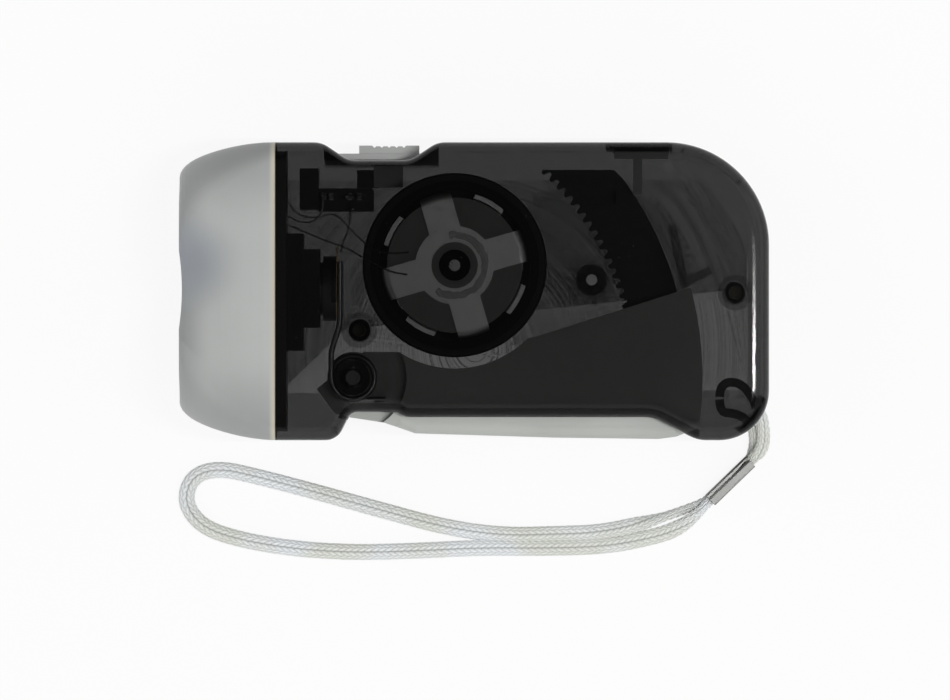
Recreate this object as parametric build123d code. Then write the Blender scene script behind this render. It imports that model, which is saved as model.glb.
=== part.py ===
"""Hand squeeze dynamo flashlight, lying on its side.

X runs along the flashlight with the head towards -X, Y runs from the press lever up to the switch side, and Z is up,
out of the side that it lies on. The origin is on the table under the middle of the body. All sizes are millimetres.

Squeezing the lever turns a toothed sector about the pivot pin. The sector drives a small pinion on the idler axle,
the idler wheel beside it drives the flywheel's pinion, and the magnet inside the flywheel turns round the fixed claws.
"""

from build123d import *
import math
import os

os.makedirs("parts", exist_ok=True)

# ------------------------------------------------------------------ body
HEAD_LENGTH = 17.2
TAIL_ROOM = 13.153
BACK_ROOM = 6.063
ROOF_ROOM = 1.9
WALL = 1.6
EDGE_ROUND = 3.0
TAIL_TOP_ROUND = 18.3
TAIL_FOOT_ROUND = 8.9
NOTCH_DEPTH = 3.2
NOTCH_START = 8.2
NOTCH_LENGTH = 20.6
NOTCH_SLOPE_LENGTH = 4.8
NOTCH_ROUND = 4.5
NOTCH_FLOOR_WALL = 0.9
GRIP_RISE = 4.1
FOOT_LENGTH = 12.7
FOOT_SLOPE_LENGTH = 7.8
ARCH_START = 10.9
ARCH_LENGTH = 12.0
ARCH_RISE = 0.9
PANEL_RISE = 0.3
PANEL_ROOM = 0.3

# ------------------------------------------------------------------ clearances
RUNNING = 0.05
GAP = 0.3
TOUCH = 0.02

# ------------------------------------------------------------------ gear train
SECTOR_MODULE = 0.6
SECTOR_TEETH = 167
PINION_TEETH = 14
WHEEL_MODULE = 0.5
WHEEL_TEETH = 72
FLYWHEEL_PINION_TEETH = 26
PRESSURE_ANGLE = math.radians(20)
BACKLASH = 0.14
SECTOR_ADDENDUM_SHARE = 0.75
WHEEL_ADDENDUM_SHARE = 0.8
DEDENDUM_SHARE = 1.05

PIVOT_FROM_JOINT = 13.78
PIVOT_FROM_FOOT = 11.12
IDLER_ANGLE = math.radians(22.3)
FLYWHEEL_ANGLE = math.radians(173.9)

AXLE_RADIUS = 1.0
PIVOT_PIN_RADIUS = 1.7
BOSS_WALL = 1.8
PIN_OVERLAP = 0.6
PIN_CHAMFER = 0.4
PIN_DIMPLE_RADIUS = 0.9
PIN_SEAT = 1.2

# heights of the gear train above the table
WHEEL_LOW = 8.2
WHEEL_FACE = 2.0
WHEEL_HUB_RADIUS = 4.5
WHEEL_HUB_HEIGHT = 3.2
PINION_HEIGHT = 6.8
SECTOR_LOW = 13.5
SECTOR_THICK = 3.0
SECTOR_DEPTH = 10.15
SECTOR_TOP_ROOM = 3.2
SECTOR_END_ROOM = 0.8
SECTOR_TANG_ANGLE = math.radians(-6)

# ------------------------------------------------------------------ dynamo
FLYWHEEL_RADIUS = 16.4
FLYWHEEL_RIM = 1.35
FLYWHEEL_LOW = 13.0
FLYWHEEL_HEIGHT = 13.5
FLYWHEEL_WEB = 1.4
MAGNET_WALL = 1.5
AIR_GAP = 0.4
CLAW_SHEET = 0.8
CLAW_WIDTH = 5.7
CLAW_BEND = 1.4
CLAW_COUNT = 4
CLAW_ANGLE = 16.0
CLAW_DISC_RADIUS = 7.0
BOBBIN_HUB = 4.1
BOBBIN_FLANGE = 0.6

# ------------------------------------------------------------------ lever
LEVER_LOW = 5.0
LEVER_WIDTH = 20.0
LEVER_WALL = 1.6
LEVER_GRIP_WALL = 1.8
LEVER_END_WALL = 1.6
LEVER_ROUND = 2.5
HUB_RADIUS = 3.1
EYE_RADIUS = 4.6
HUB_STEP_RADIUS = 9.57
HUB_DROP = 3.0
FLYWHEEL_ROOM = 2.0
LEVER_GRIP_DEPTH = 0.2

# ------------------------------------------------------------------ return spring
SPRING_WIRE = 1.0
SPRING_TURNS = 2
SPRING_PITCH = 1.46
SPRING_FOOT = 5.8

# ------------------------------------------------------------------ switch and lock
SWITCH_TRAVEL = 2.5
KNOB_LENGTH = 10.7
KNOB_WIDTH = 9.0
KNOB_BASE_LENGTH = 14.9
KNOB_BASE_WIDTH = 12.0
KNOB_BASE_THICK = 1.25
KNOB_RIB_COUNT = 4
KNOB_RIB_PITCH = 1.31
KNOB_END = 15.1
STEM_WIDTH = 4.0
LOCK_TRAVEL = 1.2
LOCK_LENGTH = 9.9
LOCK_WIDTH = 8.0
LOCK_END = 6.9
LOCK_LEG_WIDTH = 1.6
LOCK_LEG_REACH = 6.5

# ------------------------------------------------------------------ head cap
HEAD_TAPER = 4.2
HEAD_NOSE = 2.1
HEAD_CORNER_GROWTH = 8.2
HEAD_WAIST = 3.0

# ------------------------------------------------------------------ lamp and cells
LENS_THICK = 1.2
LENS_SEAT = 1.2
LIP_THICK = 0.6
LAMP_SPACING = 20.4
REFLECTOR_RADIUS = 8.9
REFLECTOR_DEPTH = 11.2
REFLECTOR_WALL = 0.8
NECK_RADIUS = 3.0
LED_RADIUS = 2.5
FRAME_THICK = 2.9
BOARD_THICK = 1.2
CELL_RADIUS = 5.8
CELL_THICK = 2.9
CELL_COUNT = 3
CONTACT_THICK = 0.35

# ------------------------------------------------------------------ fasteners and wires
SCREW_RADIUS = 1.1
SCREW_HEAD_RADIUS = 2.0
SCREW_HEAD_HEIGHT = 1.5
SCREW_LENGTH = 18.0
WIRE_RADIUS = 0.16
STRAP_RADIUS = 1.1
STRAP_POST_RADIUS = 1.5
STRAP_EXIT_HEIGHT = 7.5
FERRULE_LENGTH = 10.0
FERRULE_SHEET = 0.35

# ------------------------------------------------------------------ places worked out from the sizes
def polar(centre, radius, angle):
    """The point at a radius and an angle in radians from a centre."""
    return (centre[0] + radius * math.cos(angle), centre[1] + radius * math.sin(angle))


SECTOR_RADIUS = SECTOR_MODULE * SECTOR_TEETH / 2
SECTOR_TIP = SECTOR_RADIUS - SECTOR_ADDENDUM_SHARE * SECTOR_MODULE
PINION_RADIUS = SECTOR_MODULE * PINION_TEETH / 2
WHEEL_RADIUS = WHEEL_MODULE * WHEEL_TEETH / 2
WHEEL_TIP = WHEEL_RADIUS + WHEEL_ADDENDUM_SHARE * WHEEL_MODULE
FLYWHEEL_PINION_RADIUS = WHEEL_MODULE * FLYWHEEL_PINION_TEETH / 2
LEVER_REACH = SECTOR_TIP + SECTOR_DEPTH + SECTOR_END_ROOM + LEVER_END_WALL

# The body is as large as the gear train and the room round it make it.
IDLER_OFFSET = polar((0, 0), SECTOR_RADIUS - PINION_RADIUS, IDLER_ANGLE)
LENGTH = HEAD_LENGTH + PIVOT_FROM_JOINT + IDLER_OFFSET[0] + WHEEL_TIP + TAIL_ROOM
HEIGHT = PIVOT_FROM_FOOT + IDLER_OFFSET[1] + WHEEL_TIP + BACK_ROOM
THICK = FLYWHEEL_LOW + FLYWHEEL_HEIGHT + ROOF_ROOM + WALL

X_FRONT = -LENGTH / 2
X_JOINT = X_FRONT + HEAD_LENGTH
X_TAIL = LENGTH / 2
Y_TOP = HEIGHT / 2
Y_FOOT = -HEIGHT / 2
Y_GRIP = Y_FOOT + GRIP_RISE
Y_NOTCH = Y_TOP - NOTCH_DEPTH
Z_MID = THICK / 2
Z_FLOOR = WALL
Z_ROOF = THICK - WALL
OVERRUN = 5.0

PIVOT = (X_JOINT + PIVOT_FROM_JOINT, Y_FOOT + PIVOT_FROM_FOOT)
IDLER = (PIVOT[0] + IDLER_OFFSET[0], PIVOT[1] + IDLER_OFFSET[1])
FLYWHEEL = polar(IDLER, WHEEL_RADIUS + FLYWHEEL_PINION_RADIUS, FLYWHEEL_ANGLE)
SECTOR_TOP = Y_TOP - WALL - SECTOR_TOP_ROOM
SCREWS = [(X_TAIL - 5.8, Y_TOP - 26.7), (X_JOINT + 14.8, Y_FOOT + 19.6)]
PEG = (X_TAIL - 17.8, Y_TOP - 4.3)
STRAP_POST = (X_TAIL - 5.8, Y_FOOT + 7.54)
LEVER_HIGH = LEVER_LOW + LEVER_WIDTH
LAMP_SHIFT = 0.3


# ------------------------------------------------------------------ small helpers
def bar(centre, radius, low, high):
    """An upright round bar between two heights."""
    return Pos(centre[0], centre[1], low) * extrude(Circle(radius), high - low)


def ring(centre, outer, inner, low, high):
    """An upright round tube between two heights."""
    return bar(centre, outer, low, high) - bar(centre, inner, low - 1, high + 1)


def brick(x0, x1, y0, y1, z0, z1):
    """A box between two corners."""
    return Pos((x0 + x1) / 2, (y0 + y1) / 2, (z0 + z1) / 2) * Box(x1 - x0, y1 - y0, z1 - z0)


def plate(points, low, high):
    """A flat plate with straight edges through plan points."""
    return Pos(0, 0, low) * extrude(make_face(Polyline(*points, close=True)), high - low)


def x_bar(y, z, radius, x0, x1):
    """A round bar along X."""
    return Pos(x0, y, z) * Rot(0, 90, 0) * extrude(Circle(radius), x1 - x0)


def inset_corners(corners, inset):
    """Moves every side of a counter-clockwise outline inwards and changes its corner radii to match."""
    moved = []
    count = len(corners)
    for i in range(count):
        before = corners[i - 1][0]
        (here, radius) = corners[i]
        after = corners[(i + 1) % count][0]
        a = math.atan2(here[1] - before[1], here[0] - before[0])
        b = math.atan2(after[1] - here[1], after[0] - here[0])
        turn = math.remainder(b - a, 2 * math.pi)
        reach = inset / math.cos(turn / 2)
        inward = (a + b) / 2 + math.pi / 2 if abs(b - a) < math.pi else (a + b) / 2 - math.pi / 2
        new_radius = max(radius - inset, 0.3) if turn > 0 else radius + inset
        moved.append((polar(here, reach, inward), new_radius))
    return moved


def rounded_face(corners):
    """A face whose outline has one radius at each corner."""
    points = [(p[0], p[1]) for p, radius in corners]
    return make_face(FilletPolyline(*points, radius=[radius for p, radius in corners], close=True))


# ------------------------------------------------------------------ housing
def housing_corners(notched):
    """Corners of the body's side view, counter-clockwise, each with its rounding."""
    arch_end = X_JOINT + ARCH_START + ARCH_LENGTH
    foot_end = X_TAIL - FOOT_LENGTH
    corners = [
        ((X_JOINT - OVERRUN, Y_FOOT), 1.0),
        ((X_JOINT + ARCH_START, Y_FOOT), 3.2),
        ((X_JOINT + ARCH_START + 2.5, Y_GRIP + ARCH_RISE), 2.0),
        ((arch_end - 1.2, Y_GRIP + ARCH_RISE), 0.8),
        ((arch_end, Y_GRIP), 3.2),
        ((foot_end - FOOT_SLOPE_LENGTH, Y_GRIP), 6.0),
        ((foot_end, Y_FOOT), 6.0),
        ((X_TAIL, Y_FOOT), TAIL_FOOT_ROUND),
        ((X_TAIL, Y_TOP), TAIL_TOP_ROUND),
    ]
    if notched:
        start = X_JOINT + NOTCH_START
        end = start + NOTCH_LENGTH
        corners += [
            ((end, Y_TOP), NOTCH_ROUND),
            ((end - NOTCH_SLOPE_LENGTH, Y_NOTCH), NOTCH_ROUND),
            ((start + NOTCH_SLOPE_LENGTH, Y_NOTCH), NOTCH_ROUND),
            ((start, Y_TOP), NOTCH_ROUND),
        ]
    return corners + [((X_JOINT - OVERRUN, Y_TOP), 1.0)]


def housing_block():
    """The body's outside as one solid, with its long edges rounded."""
    block = extrude(rounded_face(housing_corners(True)), THICK)
    rims = block.edges().group_by(Axis.Z)
    block = fillet(rims[0] + rims[-1], EDGE_ROUND)
    return block & brick(X_JOINT, X_TAIL + 1, Y_FOOT - 1, Y_TOP + 1, -1, THICK + 1)


def housing_cavity():
    """The hollow inside the body, flat under the switch notch."""
    face = rounded_face(inset_corners(housing_corners(False), WALL))
    hollow = Pos(0, 0, Z_FLOOR) * extrude(face, THICK - 2 * WALL)
    start = X_JOINT + NOTCH_START
    under = brick(start, start + NOTCH_LENGTH, Y_NOTCH - NOTCH_FLOOR_WALL, Y_TOP, 0, THICK)
    return hollow - under


def lever_slot():
    """The opening in the grip side that the lever swings through."""
    low = LEVER_LOW - GAP
    high = LEVER_HIGH + GAP
    reach = bar(PIVOT, LEVER_REACH + GAP, low, high)
    slot = reach & brick(PIVOT[0] - 0.6, X_TAIL, Y_FOOT - 4, Y_GRIP + 6, low, high)
    return slot + bar(PIVOT, 7.6, low, high)


KNOB_RIGHT = X_JOINT + NOTCH_START + NOTCH_LENGTH - 3.25
KNOB_BASE_RIGHT = KNOB_RIGHT + 0.6
STEM_LEFT = KNOB_RIGHT - 8.1
STEM_RIGHT = KNOB_RIGHT - 2.9
LOCK_RIGHT = X_TAIL - 17.7
LOCK_LEG_LEFT = LOCK_RIGHT - 6.4


def switch_openings():
    """The pocket that the switch knob's base slides in and the slot for its stem."""
    left = KNOB_BASE_RIGHT - KNOB_BASE_LENGTH - SWITCH_TRAVEL - 0.2
    half = KNOB_BASE_WIDTH / 2 + 0.2
    pocket = brick(left, KNOB_BASE_RIGHT + 0.2, Y_NOTCH, Y_TOP + 1, Z_MID - half, Z_MID + half)
    half = STEM_WIDTH / 2 + 0.2
    slot = brick(STEM_LEFT - SWITCH_TRAVEL - 0.2, STEM_RIGHT + 0.2, Y_NOTCH - 3, Y_TOP, Z_MID - half, Z_MID + half)
    return pocket + slot


def lock_opening():
    """The slot in the back that the lock slider's thumb pad moves in."""
    left = LOCK_RIGHT - LOCK_LENGTH - LOCK_TRAVEL - 0.15
    half = LOCK_WIDTH / 2 + 0.2
    return brick(left, LOCK_RIGHT + 0.6, Y_TOP - WALL - 1, Y_TOP + 1, Z_MID - half, Z_MID + half)


def strap_opening():
    """The slot through the tail corner that both runs of the strap leave by."""
    corner = (X_TAIL - TAIL_FOOT_ROUND, Y_FOOT + TAIL_FOOT_ROUND)
    place = polar(corner, TAIL_FOOT_ROUND, math.radians(-36))
    return Pos(place[0], place[1], STRAP_EXIT_HEIGHT) * Rot(0, 0, -36) * Box(7, 7.6, 2 * STRAP_RADIUS + 3.2)


def housing():
    """The hollow body with all its openings, before it is cut in two."""
    body = housing_block() - housing_cavity()
    return body - lever_slot() - switch_openings() - lock_opening() - strap_opening()


def screw_recess(centre):
    """The counterbore and shank hole of one housing screw."""
    hole = bar(centre, SCREW_RADIUS + 0.15, -1, Z_MID + 1)
    return hole + bar(centre, SCREW_HEAD_RADIUS + 0.2, -1, SCREW_HEAD_HEIGHT)


def table_panel():
    """The flat panel that the flashlight lies on, as a plate that stays clear of the rounded edges."""
    room = EDGE_ROUND + PANEL_ROOM
    low = Y_GRIP + ARCH_RISE + room
    high = Y_NOTCH - room
    points = [
        (X_JOINT + PANEL_ROOM, low),
        (X_TAIL - room, max(low, Y_FOOT + TAIL_FOOT_ROUND)),
        (X_TAIL - room, Y_TOP - TAIL_TOP_ROUND),
        (X_TAIL - TAIL_TOP_ROUND + 0.4 * TAIL_TOP_ROUND, high),
        (X_JOINT + PANEL_ROOM, high),
    ]
    return plate(points, -2, PANEL_RISE + 1)


def lower_shell(body):
    """The half that lies on the table, with the pegs and the seats of the pins."""
    shell = body & brick(-LENGTH, LENGTH, -HEIGHT, HEIGHT, -1, Z_MID)
    shell -= brick(X_JOINT - 1, X_TAIL + 1, Y_FOOT - 1, Y_TOP + 1, -1, PANEL_RISE) - table_panel()
    boss = AXLE_RADIUS + BOSS_WALL
    shell += bar(IDLER, boss, Z_FLOOR, WHEEL_LOW - 1.2)
    shell += bar(FLYWHEEL, boss, Z_FLOOR, WHEEL_LOW - 1.2)
    shell += bar(PIVOT, HUB_RADIUS, Z_FLOOR, LEVER_LOW - GAP)
    shell += bar(PEG, 1.18, Z_FLOOR, Z_MID)
    shell += bar(STRAP_POST, STRAP_POST_RADIUS, Z_FLOOR, Z_MID)
    shell += brick(CELL_END + 0.45, CELL_END + 1.4, -5.1, 4.7, Z_FLOOR, Z_MID)
    for centre in SCREWS:
        shell += bar(centre, SCREW_HEAD_RADIUS + 1.2, Z_FLOOR, Z_MID)
        shell -= screw_recess(centre)
    shell -= bar(IDLER, AXLE_RADIUS, Z_FLOOR + PIN_SEAT, Z_MID)
    shell -= bar(FLYWHEEL, AXLE_RADIUS, Z_FLOOR + PIN_SEAT, Z_MID)
    shell -= bar(PIVOT, PIVOT_PIN_RADIUS, Z_FLOOR + PIN_OVERLAP, Z_MID)
    return shell


def corner_rib():
    """The L-shaped guide rib beside the sector."""
    start = (X_TAIL - 17.2, Y_TOP - 15.6)
    bend = (X_TAIL - 15.1, Y_TOP - 25.0)
    foot = (X_TAIL - 11.1, Y_TOP - 23.1)
    rib = None
    for a, b in ((start, bend), (bend, foot)):
        angle = math.degrees(math.atan2(b[1] - a[1], b[0] - a[0]))
        middle = ((a[0] + b[0]) / 2, (a[1] + b[1]) / 2)
        length = math.dist(a, b) + 1.6
        leg = Pos(middle[0], middle[1], Z_ROOF - 1.4) * Rot(0, 0, angle) * Box(length, 1.6, 2.8)
        rib = leg if rib is None else rib + leg
    return rib


def upper_shell(body):
    """The half that faces up, with the bosses, the screw posts and the guide ribs."""
    shell = body & brick(-LENGTH, LENGTH, -HEIGHT, HEIGHT, Z_MID, THICK + 1)
    boss = AXLE_RADIUS + BOSS_WALL
    shell += bar(IDLER, boss, PINION_TOP + GAP, Z_ROOF)
    shell += bar(FLYWHEEL, boss, FLYWHEEL_LOW + FLYWHEEL_WEB + 0.5, Z_ROOF)
    shell += bar(PIVOT, HUB_RADIUS, HUB_TOP + GAP, Z_ROOF)
    shell += bar(PEG, 1.18, Z_MID, Z_ROOF)
    shell += bar(STRAP_POST, STRAP_POST_RADIUS, Z_MID, Z_ROOF)
    shell += corner_rib()
    shell += brick(SPRING_LEG_X - 1.5, SPRING_LEG_X - 0.55, -2.0, 5.5, SPRING_TOP - 1.2, Z_ROOF)
    for centre in SCREWS:
        shell += bar(centre, SCREW_RADIUS + 1.0, Z_MID, Z_ROOF)
        shell -= bar(centre, SCREW_RADIUS, Z_MID - 1, SCREW_LENGTH + 1)
    shell -= bar(IDLER, AXLE_RADIUS, Z_FLOOR + PIN_SEAT, Z_ROOF - PIN_SEAT)
    shell -= bar(FLYWHEEL, AXLE_RADIUS, Z_FLOOR + PIN_SEAT, Z_ROOF - PIN_SEAT)
    shell -= bar(PIVOT, PIVOT_PIN_RADIUS, Z_FLOOR + PIN_OVERLAP, Z_ROOF - PIN_OVERLAP)
    return shell


# ------------------------------------------------------------------ head
def head_station(share):
    """The head's half height, half thickness, corner radius and waist at a share of its length from the joint."""
    nose = 1 - math.sqrt(max(0.0, 1 - share ** 10))
    half_height = HEIGHT / 2 - HEAD_TAPER * share ** 1.9 - HEAD_NOSE * nose
    half_thick = THICK / 2 - PANEL_RISE - 0.57 * HEAD_TAPER * share ** 2.2 - 0.76 * HEAD_NOSE * nose
    corner = EDGE_ROUND + HEAD_CORNER_GROWTH * share ** 1.2 - 0.5 * HEAD_NOSE * nose
    step = min(max((share - 0.42) / 0.55, 0.0), 1.0)
    waist = HEAD_WAIST * step * step * (3 - 2 * step)
    return (HEAD_LENGTH * share, half_height, half_thick, corner, waist)


HEAD_STATIONS = [head_station(math.sin(math.pi / 2 * i / 13)) for i in range(14)]
SEAT_STATION = head_station(1 - (LIP_THICK + LENS_THICK) / HEAD_LENGTH)


def head_section(station, inset, x):
    """One cross-section of the head: a rounded rectangle, drawn in on both flat sides to a figure of eight."""
    reach, half_height, half_thick, corner, waist = station
    shift = LAMP_SHIFT * reach / HEAD_LENGTH
    hy = half_height - inset
    hz = half_thick - inset
    radius = max(corner - inset, 0.4)
    flat = hy - radius
    edges = []
    for side in (1, -1):
        points = []
        for i in range(9):
            share = -1 + i / 4
            dip = waist * (0.5 + 0.5 * math.cos(math.pi * share))
            points.append((x, shift - side * share * flat, Z_MID + side * (hz - dip)))
        if waist > 0:
            along = (0, -side, 0)
            edges.append(Spline(*points, tangents=(along, along)))
        else:
            edges.append(Line(points[0], points[-1]))
        low = Z_MID + side * (hz - radius)
        turn = radius * math.sqrt(0.5)
        start = points[-1]
        middle = (x, shift - side * (flat + turn), low + side * turn)
        end = (x, shift - side * hy, low)
        edges.append(ThreePointArc(start, middle, end))
        foot = (x, shift - side * hy, 2 * Z_MID - low)
        edges.append(Line(end, foot))
        middle = (x, shift - side * (flat + turn), 2 * Z_MID - low - side * turn)
        edges.append(ThreePointArc(foot, middle, (x, shift - side * flat, Z_MID - side * hz)))
    return make_face(Wire(edges))


def head_cap():
    """The frosted cap: a hollow loft with a smaller window in front of the lens."""
    outside = loft([head_section(s, 0, X_JOINT - s[0]) for s in HEAD_STATIONS], ruled=True)
    inner = [s for s in HEAD_STATIONS if s[0] < SEAT_STATION[0] - 0.1] + [SEAT_STATION]
    hollow = loft([head_section(s, WALL, X_JOINT - s[0]) for s in inner], ruled=True)
    hollow += extrude(head_section(SEAT_STATION, WALL, X_JOINT - SEAT_STATION[0]), LENS_THICK, dir=(-1, 0, 0))
    hollow += extrude(head_section(HEAD_STATIONS[0], WALL, X_JOINT), 0.5, dir=(1, 0, 0))
    window = extrude(head_section(SEAT_STATION, WALL + LENS_SEAT, X_FRONT + 3), 6, dir=(-1, 0, 0))
    dip = 0.5
    width = 7.0
    bow = (width ** 2 + dip ** 2) / (2 * dip)
    scoop = bar((X_FRONT - bow + dip, LAMP_SHIFT), bow, -1, THICK + 1)
    return outside - hollow - window - scoop


LENS_BACK = X_FRONT + LIP_THICK + TOUCH + LENS_THICK


def front_lens():
    """The clear window, a figure of eight that drops in behind the cap's lip."""
    face = head_section(SEAT_STATION, WALL + 0.1, LENS_BACK)
    return extrude(face, LENS_THICK, dir=(-1, 0, 0))


def lamp_places():
    """Height along Y of the two lamps, with their names."""
    return {"1": LAMP_SHIFT + LAMP_SPACING / 2, "2": LAMP_SHIFT - LAMP_SPACING / 2}


FRAME_BACK = X_JOINT + 1.95
FRAME_FRONT = FRAME_BACK - FRAME_THICK
BOARD_FRONT = FRAME_FRONT - TOUCH - BOARD_THICK


def reflector(y):
    """A bowl on a round neck that stands on the lamp board."""
    mouth = LENS_BACK + 0.1
    focal = REFLECTOR_RADIUS ** 2 / (4 * REFLECTOR_DEPTH)
    neck_depth = NECK_RADIUS ** 2 / (4 * focal)
    seat = BOARD_FRONT - TOUCH
    neck = mouth + REFLECTOR_DEPTH - neck_depth
    inside = []
    outside = []
    for i in range(7):
        radius = REFLECTOR_RADIUS + (NECK_RADIUS - REFLECTOR_RADIUS) * i / 6
        x = mouth + REFLECTOR_DEPTH - radius ** 2 / (4 * focal)
        inside.append((x, radius))
        outside.append((x, radius + REFLECTOR_WALL))
    top = Spline(*inside)
    back = Spline(*outside)
    low = Line(inside[-1], (seat, NECK_RADIUS))
    end = Line((seat, NECK_RADIUS), (seat, NECK_RADIUS + REFLECTOR_WALL))
    high = Line((seat, NECK_RADIUS + REFLECTOR_WALL), outside[-1])
    rim = Line(outside[0], inside[0])
    profile = make_face(Wire([top, low, end, high, back, rim]))
    return Pos(0, y, Z_MID) * revolve(profile, Axis.X)


def led(y):
    """One lamp: a flanged body with a domed nose, standing on the board."""
    seat = BOARD_FRONT - TOUCH
    body = x_bar(y, Z_MID, LED_RADIUS, seat - 6.2, seat)
    flange = x_bar(y, Z_MID, LED_RADIUS + 0.35, seat - 1.0, seat)
    dome = Pos(seat - 6.2, y, Z_MID) * Sphere(LED_RADIUS)
    return body + flange + dome


def led_board():
    """The small circuit board across the head that carries both lamps."""
    half = LAMP_SPACING / 2 + 3.8
    return brick(BOARD_FRONT, BOARD_FRONT + BOARD_THICK, LAMP_SHIFT - half, LAMP_SHIFT + half, Z_MID - 4.5, Z_MID + 4.5)


def lamp_frame():
    """The dark plate that closes the body behind the head and centres the cap on it."""
    hy = HEIGHT / 2 - WALL - 0.1
    hz = THICK / 2 - PANEL_RISE - WALL - 0.1
    back = Pos(FRAME_FRONT, 0, Z_MID) * Rot(0, 90, 0) * extrude(RectangleRounded(2 * hz, 2 * hy, 1.6), FRAME_THICK)
    for hole in ((19.5, 9.0), (-19.5, 9.0)):
        back -= Pos(FRAME_FRONT, hole[0], Z_MID) * Rot(0, 90, 0) * extrude(Circle(1.6), FRAME_THICK)
    return back


CELL_END = FRAME_BACK + TOUCH + CELL_COUNT * (CELL_THICK + TOUCH)
CELL_Y = 0.5


def cell_holder():
    """The stepped block that holds all but the last button cell."""
    front = FRAME_BACK + TOUCH
    wide = brick(front, front + 3.0, CELL_Y - 11.1, CELL_Y + 9.8, Z_MID - 9, Z_MID + 9)
    narrow = brick(front + 3.0, front + 5.9, CELL_Y - 7.0, CELL_Y + 7.0, Z_MID - 7.2, Z_MID + 7.2)
    return wide + narrow - x_bar(CELL_Y, Z_MID, CELL_RADIUS + 0.1, front - 1, front + 8)


def button_cells():
    """A stack of button cells, each can with its smaller cap towards the lamps."""
    cells = []
    for i in range(CELL_COUNT):
        start = FRAME_BACK + TOUCH + i * (CELL_THICK + TOUCH)
        can = x_bar(CELL_Y, Z_MID, CELL_RADIUS, start + 0.6, start + CELL_THICK)
        cells.append(can + x_bar(CELL_Y, Z_MID, CELL_RADIUS - 1.1, start, start + 0.7))
    return Compound(children=cells)


def cell_contact():
    """The springy strip that presses on the last cell, with its solder tab."""
    x = CELL_END + TOUCH
    strip = brick(x, x + CONTACT_THICK, -4.6, 8.0, Z_MID - 2.5, Z_MID + 2.5)
    return strip - brick(x - 1, x + 1, 6.0, 9.0, Z_MID - 0.8, Z_MID + 0.8)


# ------------------------------------------------------------------ gears
def tooth_half_angle(radius, pitch_radius, tooth_width):
    """Half the angle that an involute tooth takes up at a radius."""
    base = pitch_radius * math.cos(PRESSURE_ANGLE)
    angle = math.acos(min(1.0, base / max(radius, base)))
    spread = math.tan(angle) - angle
    pitch_spread = math.tan(PRESSURE_ANGLE) - PRESSURE_ANGLE
    return tooth_width / (2 * pitch_radius) + pitch_spread - spread


def tooth_profile(pitch_radius, tooth_width, low, high):
    """Radius and half angle at four places up one flank."""
    base = pitch_radius * math.cos(PRESSURE_ANGLE)
    start = max(low, min(base, high - 0.1))
    radii = [low] if low < start - 0.02 else []
    radii += [start, (start + high) / 2, high]
    return [(radius, tooth_half_angle(radius, pitch_radius, tooth_width)) for radius in radii]


def gear_face(teeth, module, addendum_share, first_tooth):
    """The outline of an external gear with a tooth centred on the angle first_tooth."""
    pitch_radius = module * teeth / 2
    width = math.pi * module / 2 - BACKLASH / 2
    low = pitch_radius - DEDENDUM_SHARE * module
    profile = tooth_profile(pitch_radius, width, low, pitch_radius + addendum_share * module)
    points = []
    for i in range(teeth):
        middle = first_tooth + 2 * math.pi * i / teeth
        points += [polar((0, 0), radius, middle - half) for radius, half in profile]
        points += [polar((0, 0), radius, middle + half) for radius, half in reversed(profile)]
    return make_face(Polyline(*points, close=True))


def gear(centre, teeth, module, addendum_share, first_tooth, low, high):
    """A solid external gear between two heights."""
    face = gear_face(teeth, module, addendum_share, first_tooth)
    return Pos(centre[0], centre[1], low) * extrude(face, high - low)


def sector_blank():
    """The sector's plate before its teeth are cut."""
    high = SECTOR_LOW + SECTOR_THICK
    band = ring(PIVOT, SECTOR_TIP + SECTOR_DEPTH, SECTOR_TIP, SECTOR_LOW, high)
    edge = [
        polar(PIVOT, SECTOR_TIP - OVERRUN, SECTOR_TANG_ANGLE),
        polar(PIVOT, LEVER_REACH + OVERRUN, SECTOR_TANG_ANGLE),
        (PIVOT[0] + LEVER_REACH + OVERRUN, SECTOR_TOP - 3.3),
        (SECTOR_CORNER[0], SECTOR_TOP - 3.3),
        (SECTOR_CORNER[0] - 3.4, SECTOR_TOP),
        (PIVOT[0] + 0.4 * SECTOR_TIP, SECTOR_TOP),
    ]
    return band & plate(edge, SECTOR_LOW, high)


SECTOR_CORNER = (PIVOT[0] + SECTOR_TIP + 0.25, SECTOR_TOP - 3.3)
CATCH_RIGHT = SECTOR_CORNER[0] - 1.5


def sector_gear():
    """The toothed sector: internal teeth towards the pivot, a tang inside the lever and the lock's catch."""
    plate_solid = sector_blank()
    pitch = 2 * math.pi / SECTOR_TEETH
    width = math.pi * SECTOR_MODULE / 2 + BACKLASH / 2
    tip = SECTOR_TIP - 0.2
    root = SECTOR_RADIUS + DEDENDUM_SHARE * SECTOR_MODULE
    profile = tooth_profile(SECTOR_RADIUS, width, tip, root)
    spaces = []
    for i in range(-6, 13):
        middle = IDLER_ANGLE + i * pitch
        points = [polar(PIVOT, radius, middle - half) for radius, half in profile]
        points += [polar(PIVOT, radius, middle + half) for radius, half in reversed(profile)]
        spaces.append(plate(points, SECTOR_LOW - 1, SECTOR_LOW + SECTOR_THICK + 1))
    for space in spaces:
        plate_solid -= space
    high = SECTOR_LOW + SECTOR_THICK
    for centre in sector_screw_places():
        plate_solid -= bar(centre, 0.9, SECTOR_LOW - 1, high + 1)
    catch = brick(CATCH_RIGHT - 1.5, CATCH_RIGHT, SECTOR_TOP - 6.1, SECTOR_TOP - 3.8, high - 0.1, high + 2.8)
    return plate_solid + catch


def sector_screw_places():
    """The two screws through the sector's tang, in line along the lever."""
    angle = SECTOR_TANG_ANGLE / 2
    return [polar(PIVOT, radius, angle) for radius in (SECTOR_RADIUS + 2.4, SECTOR_RADIUS + 7.4)]


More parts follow.
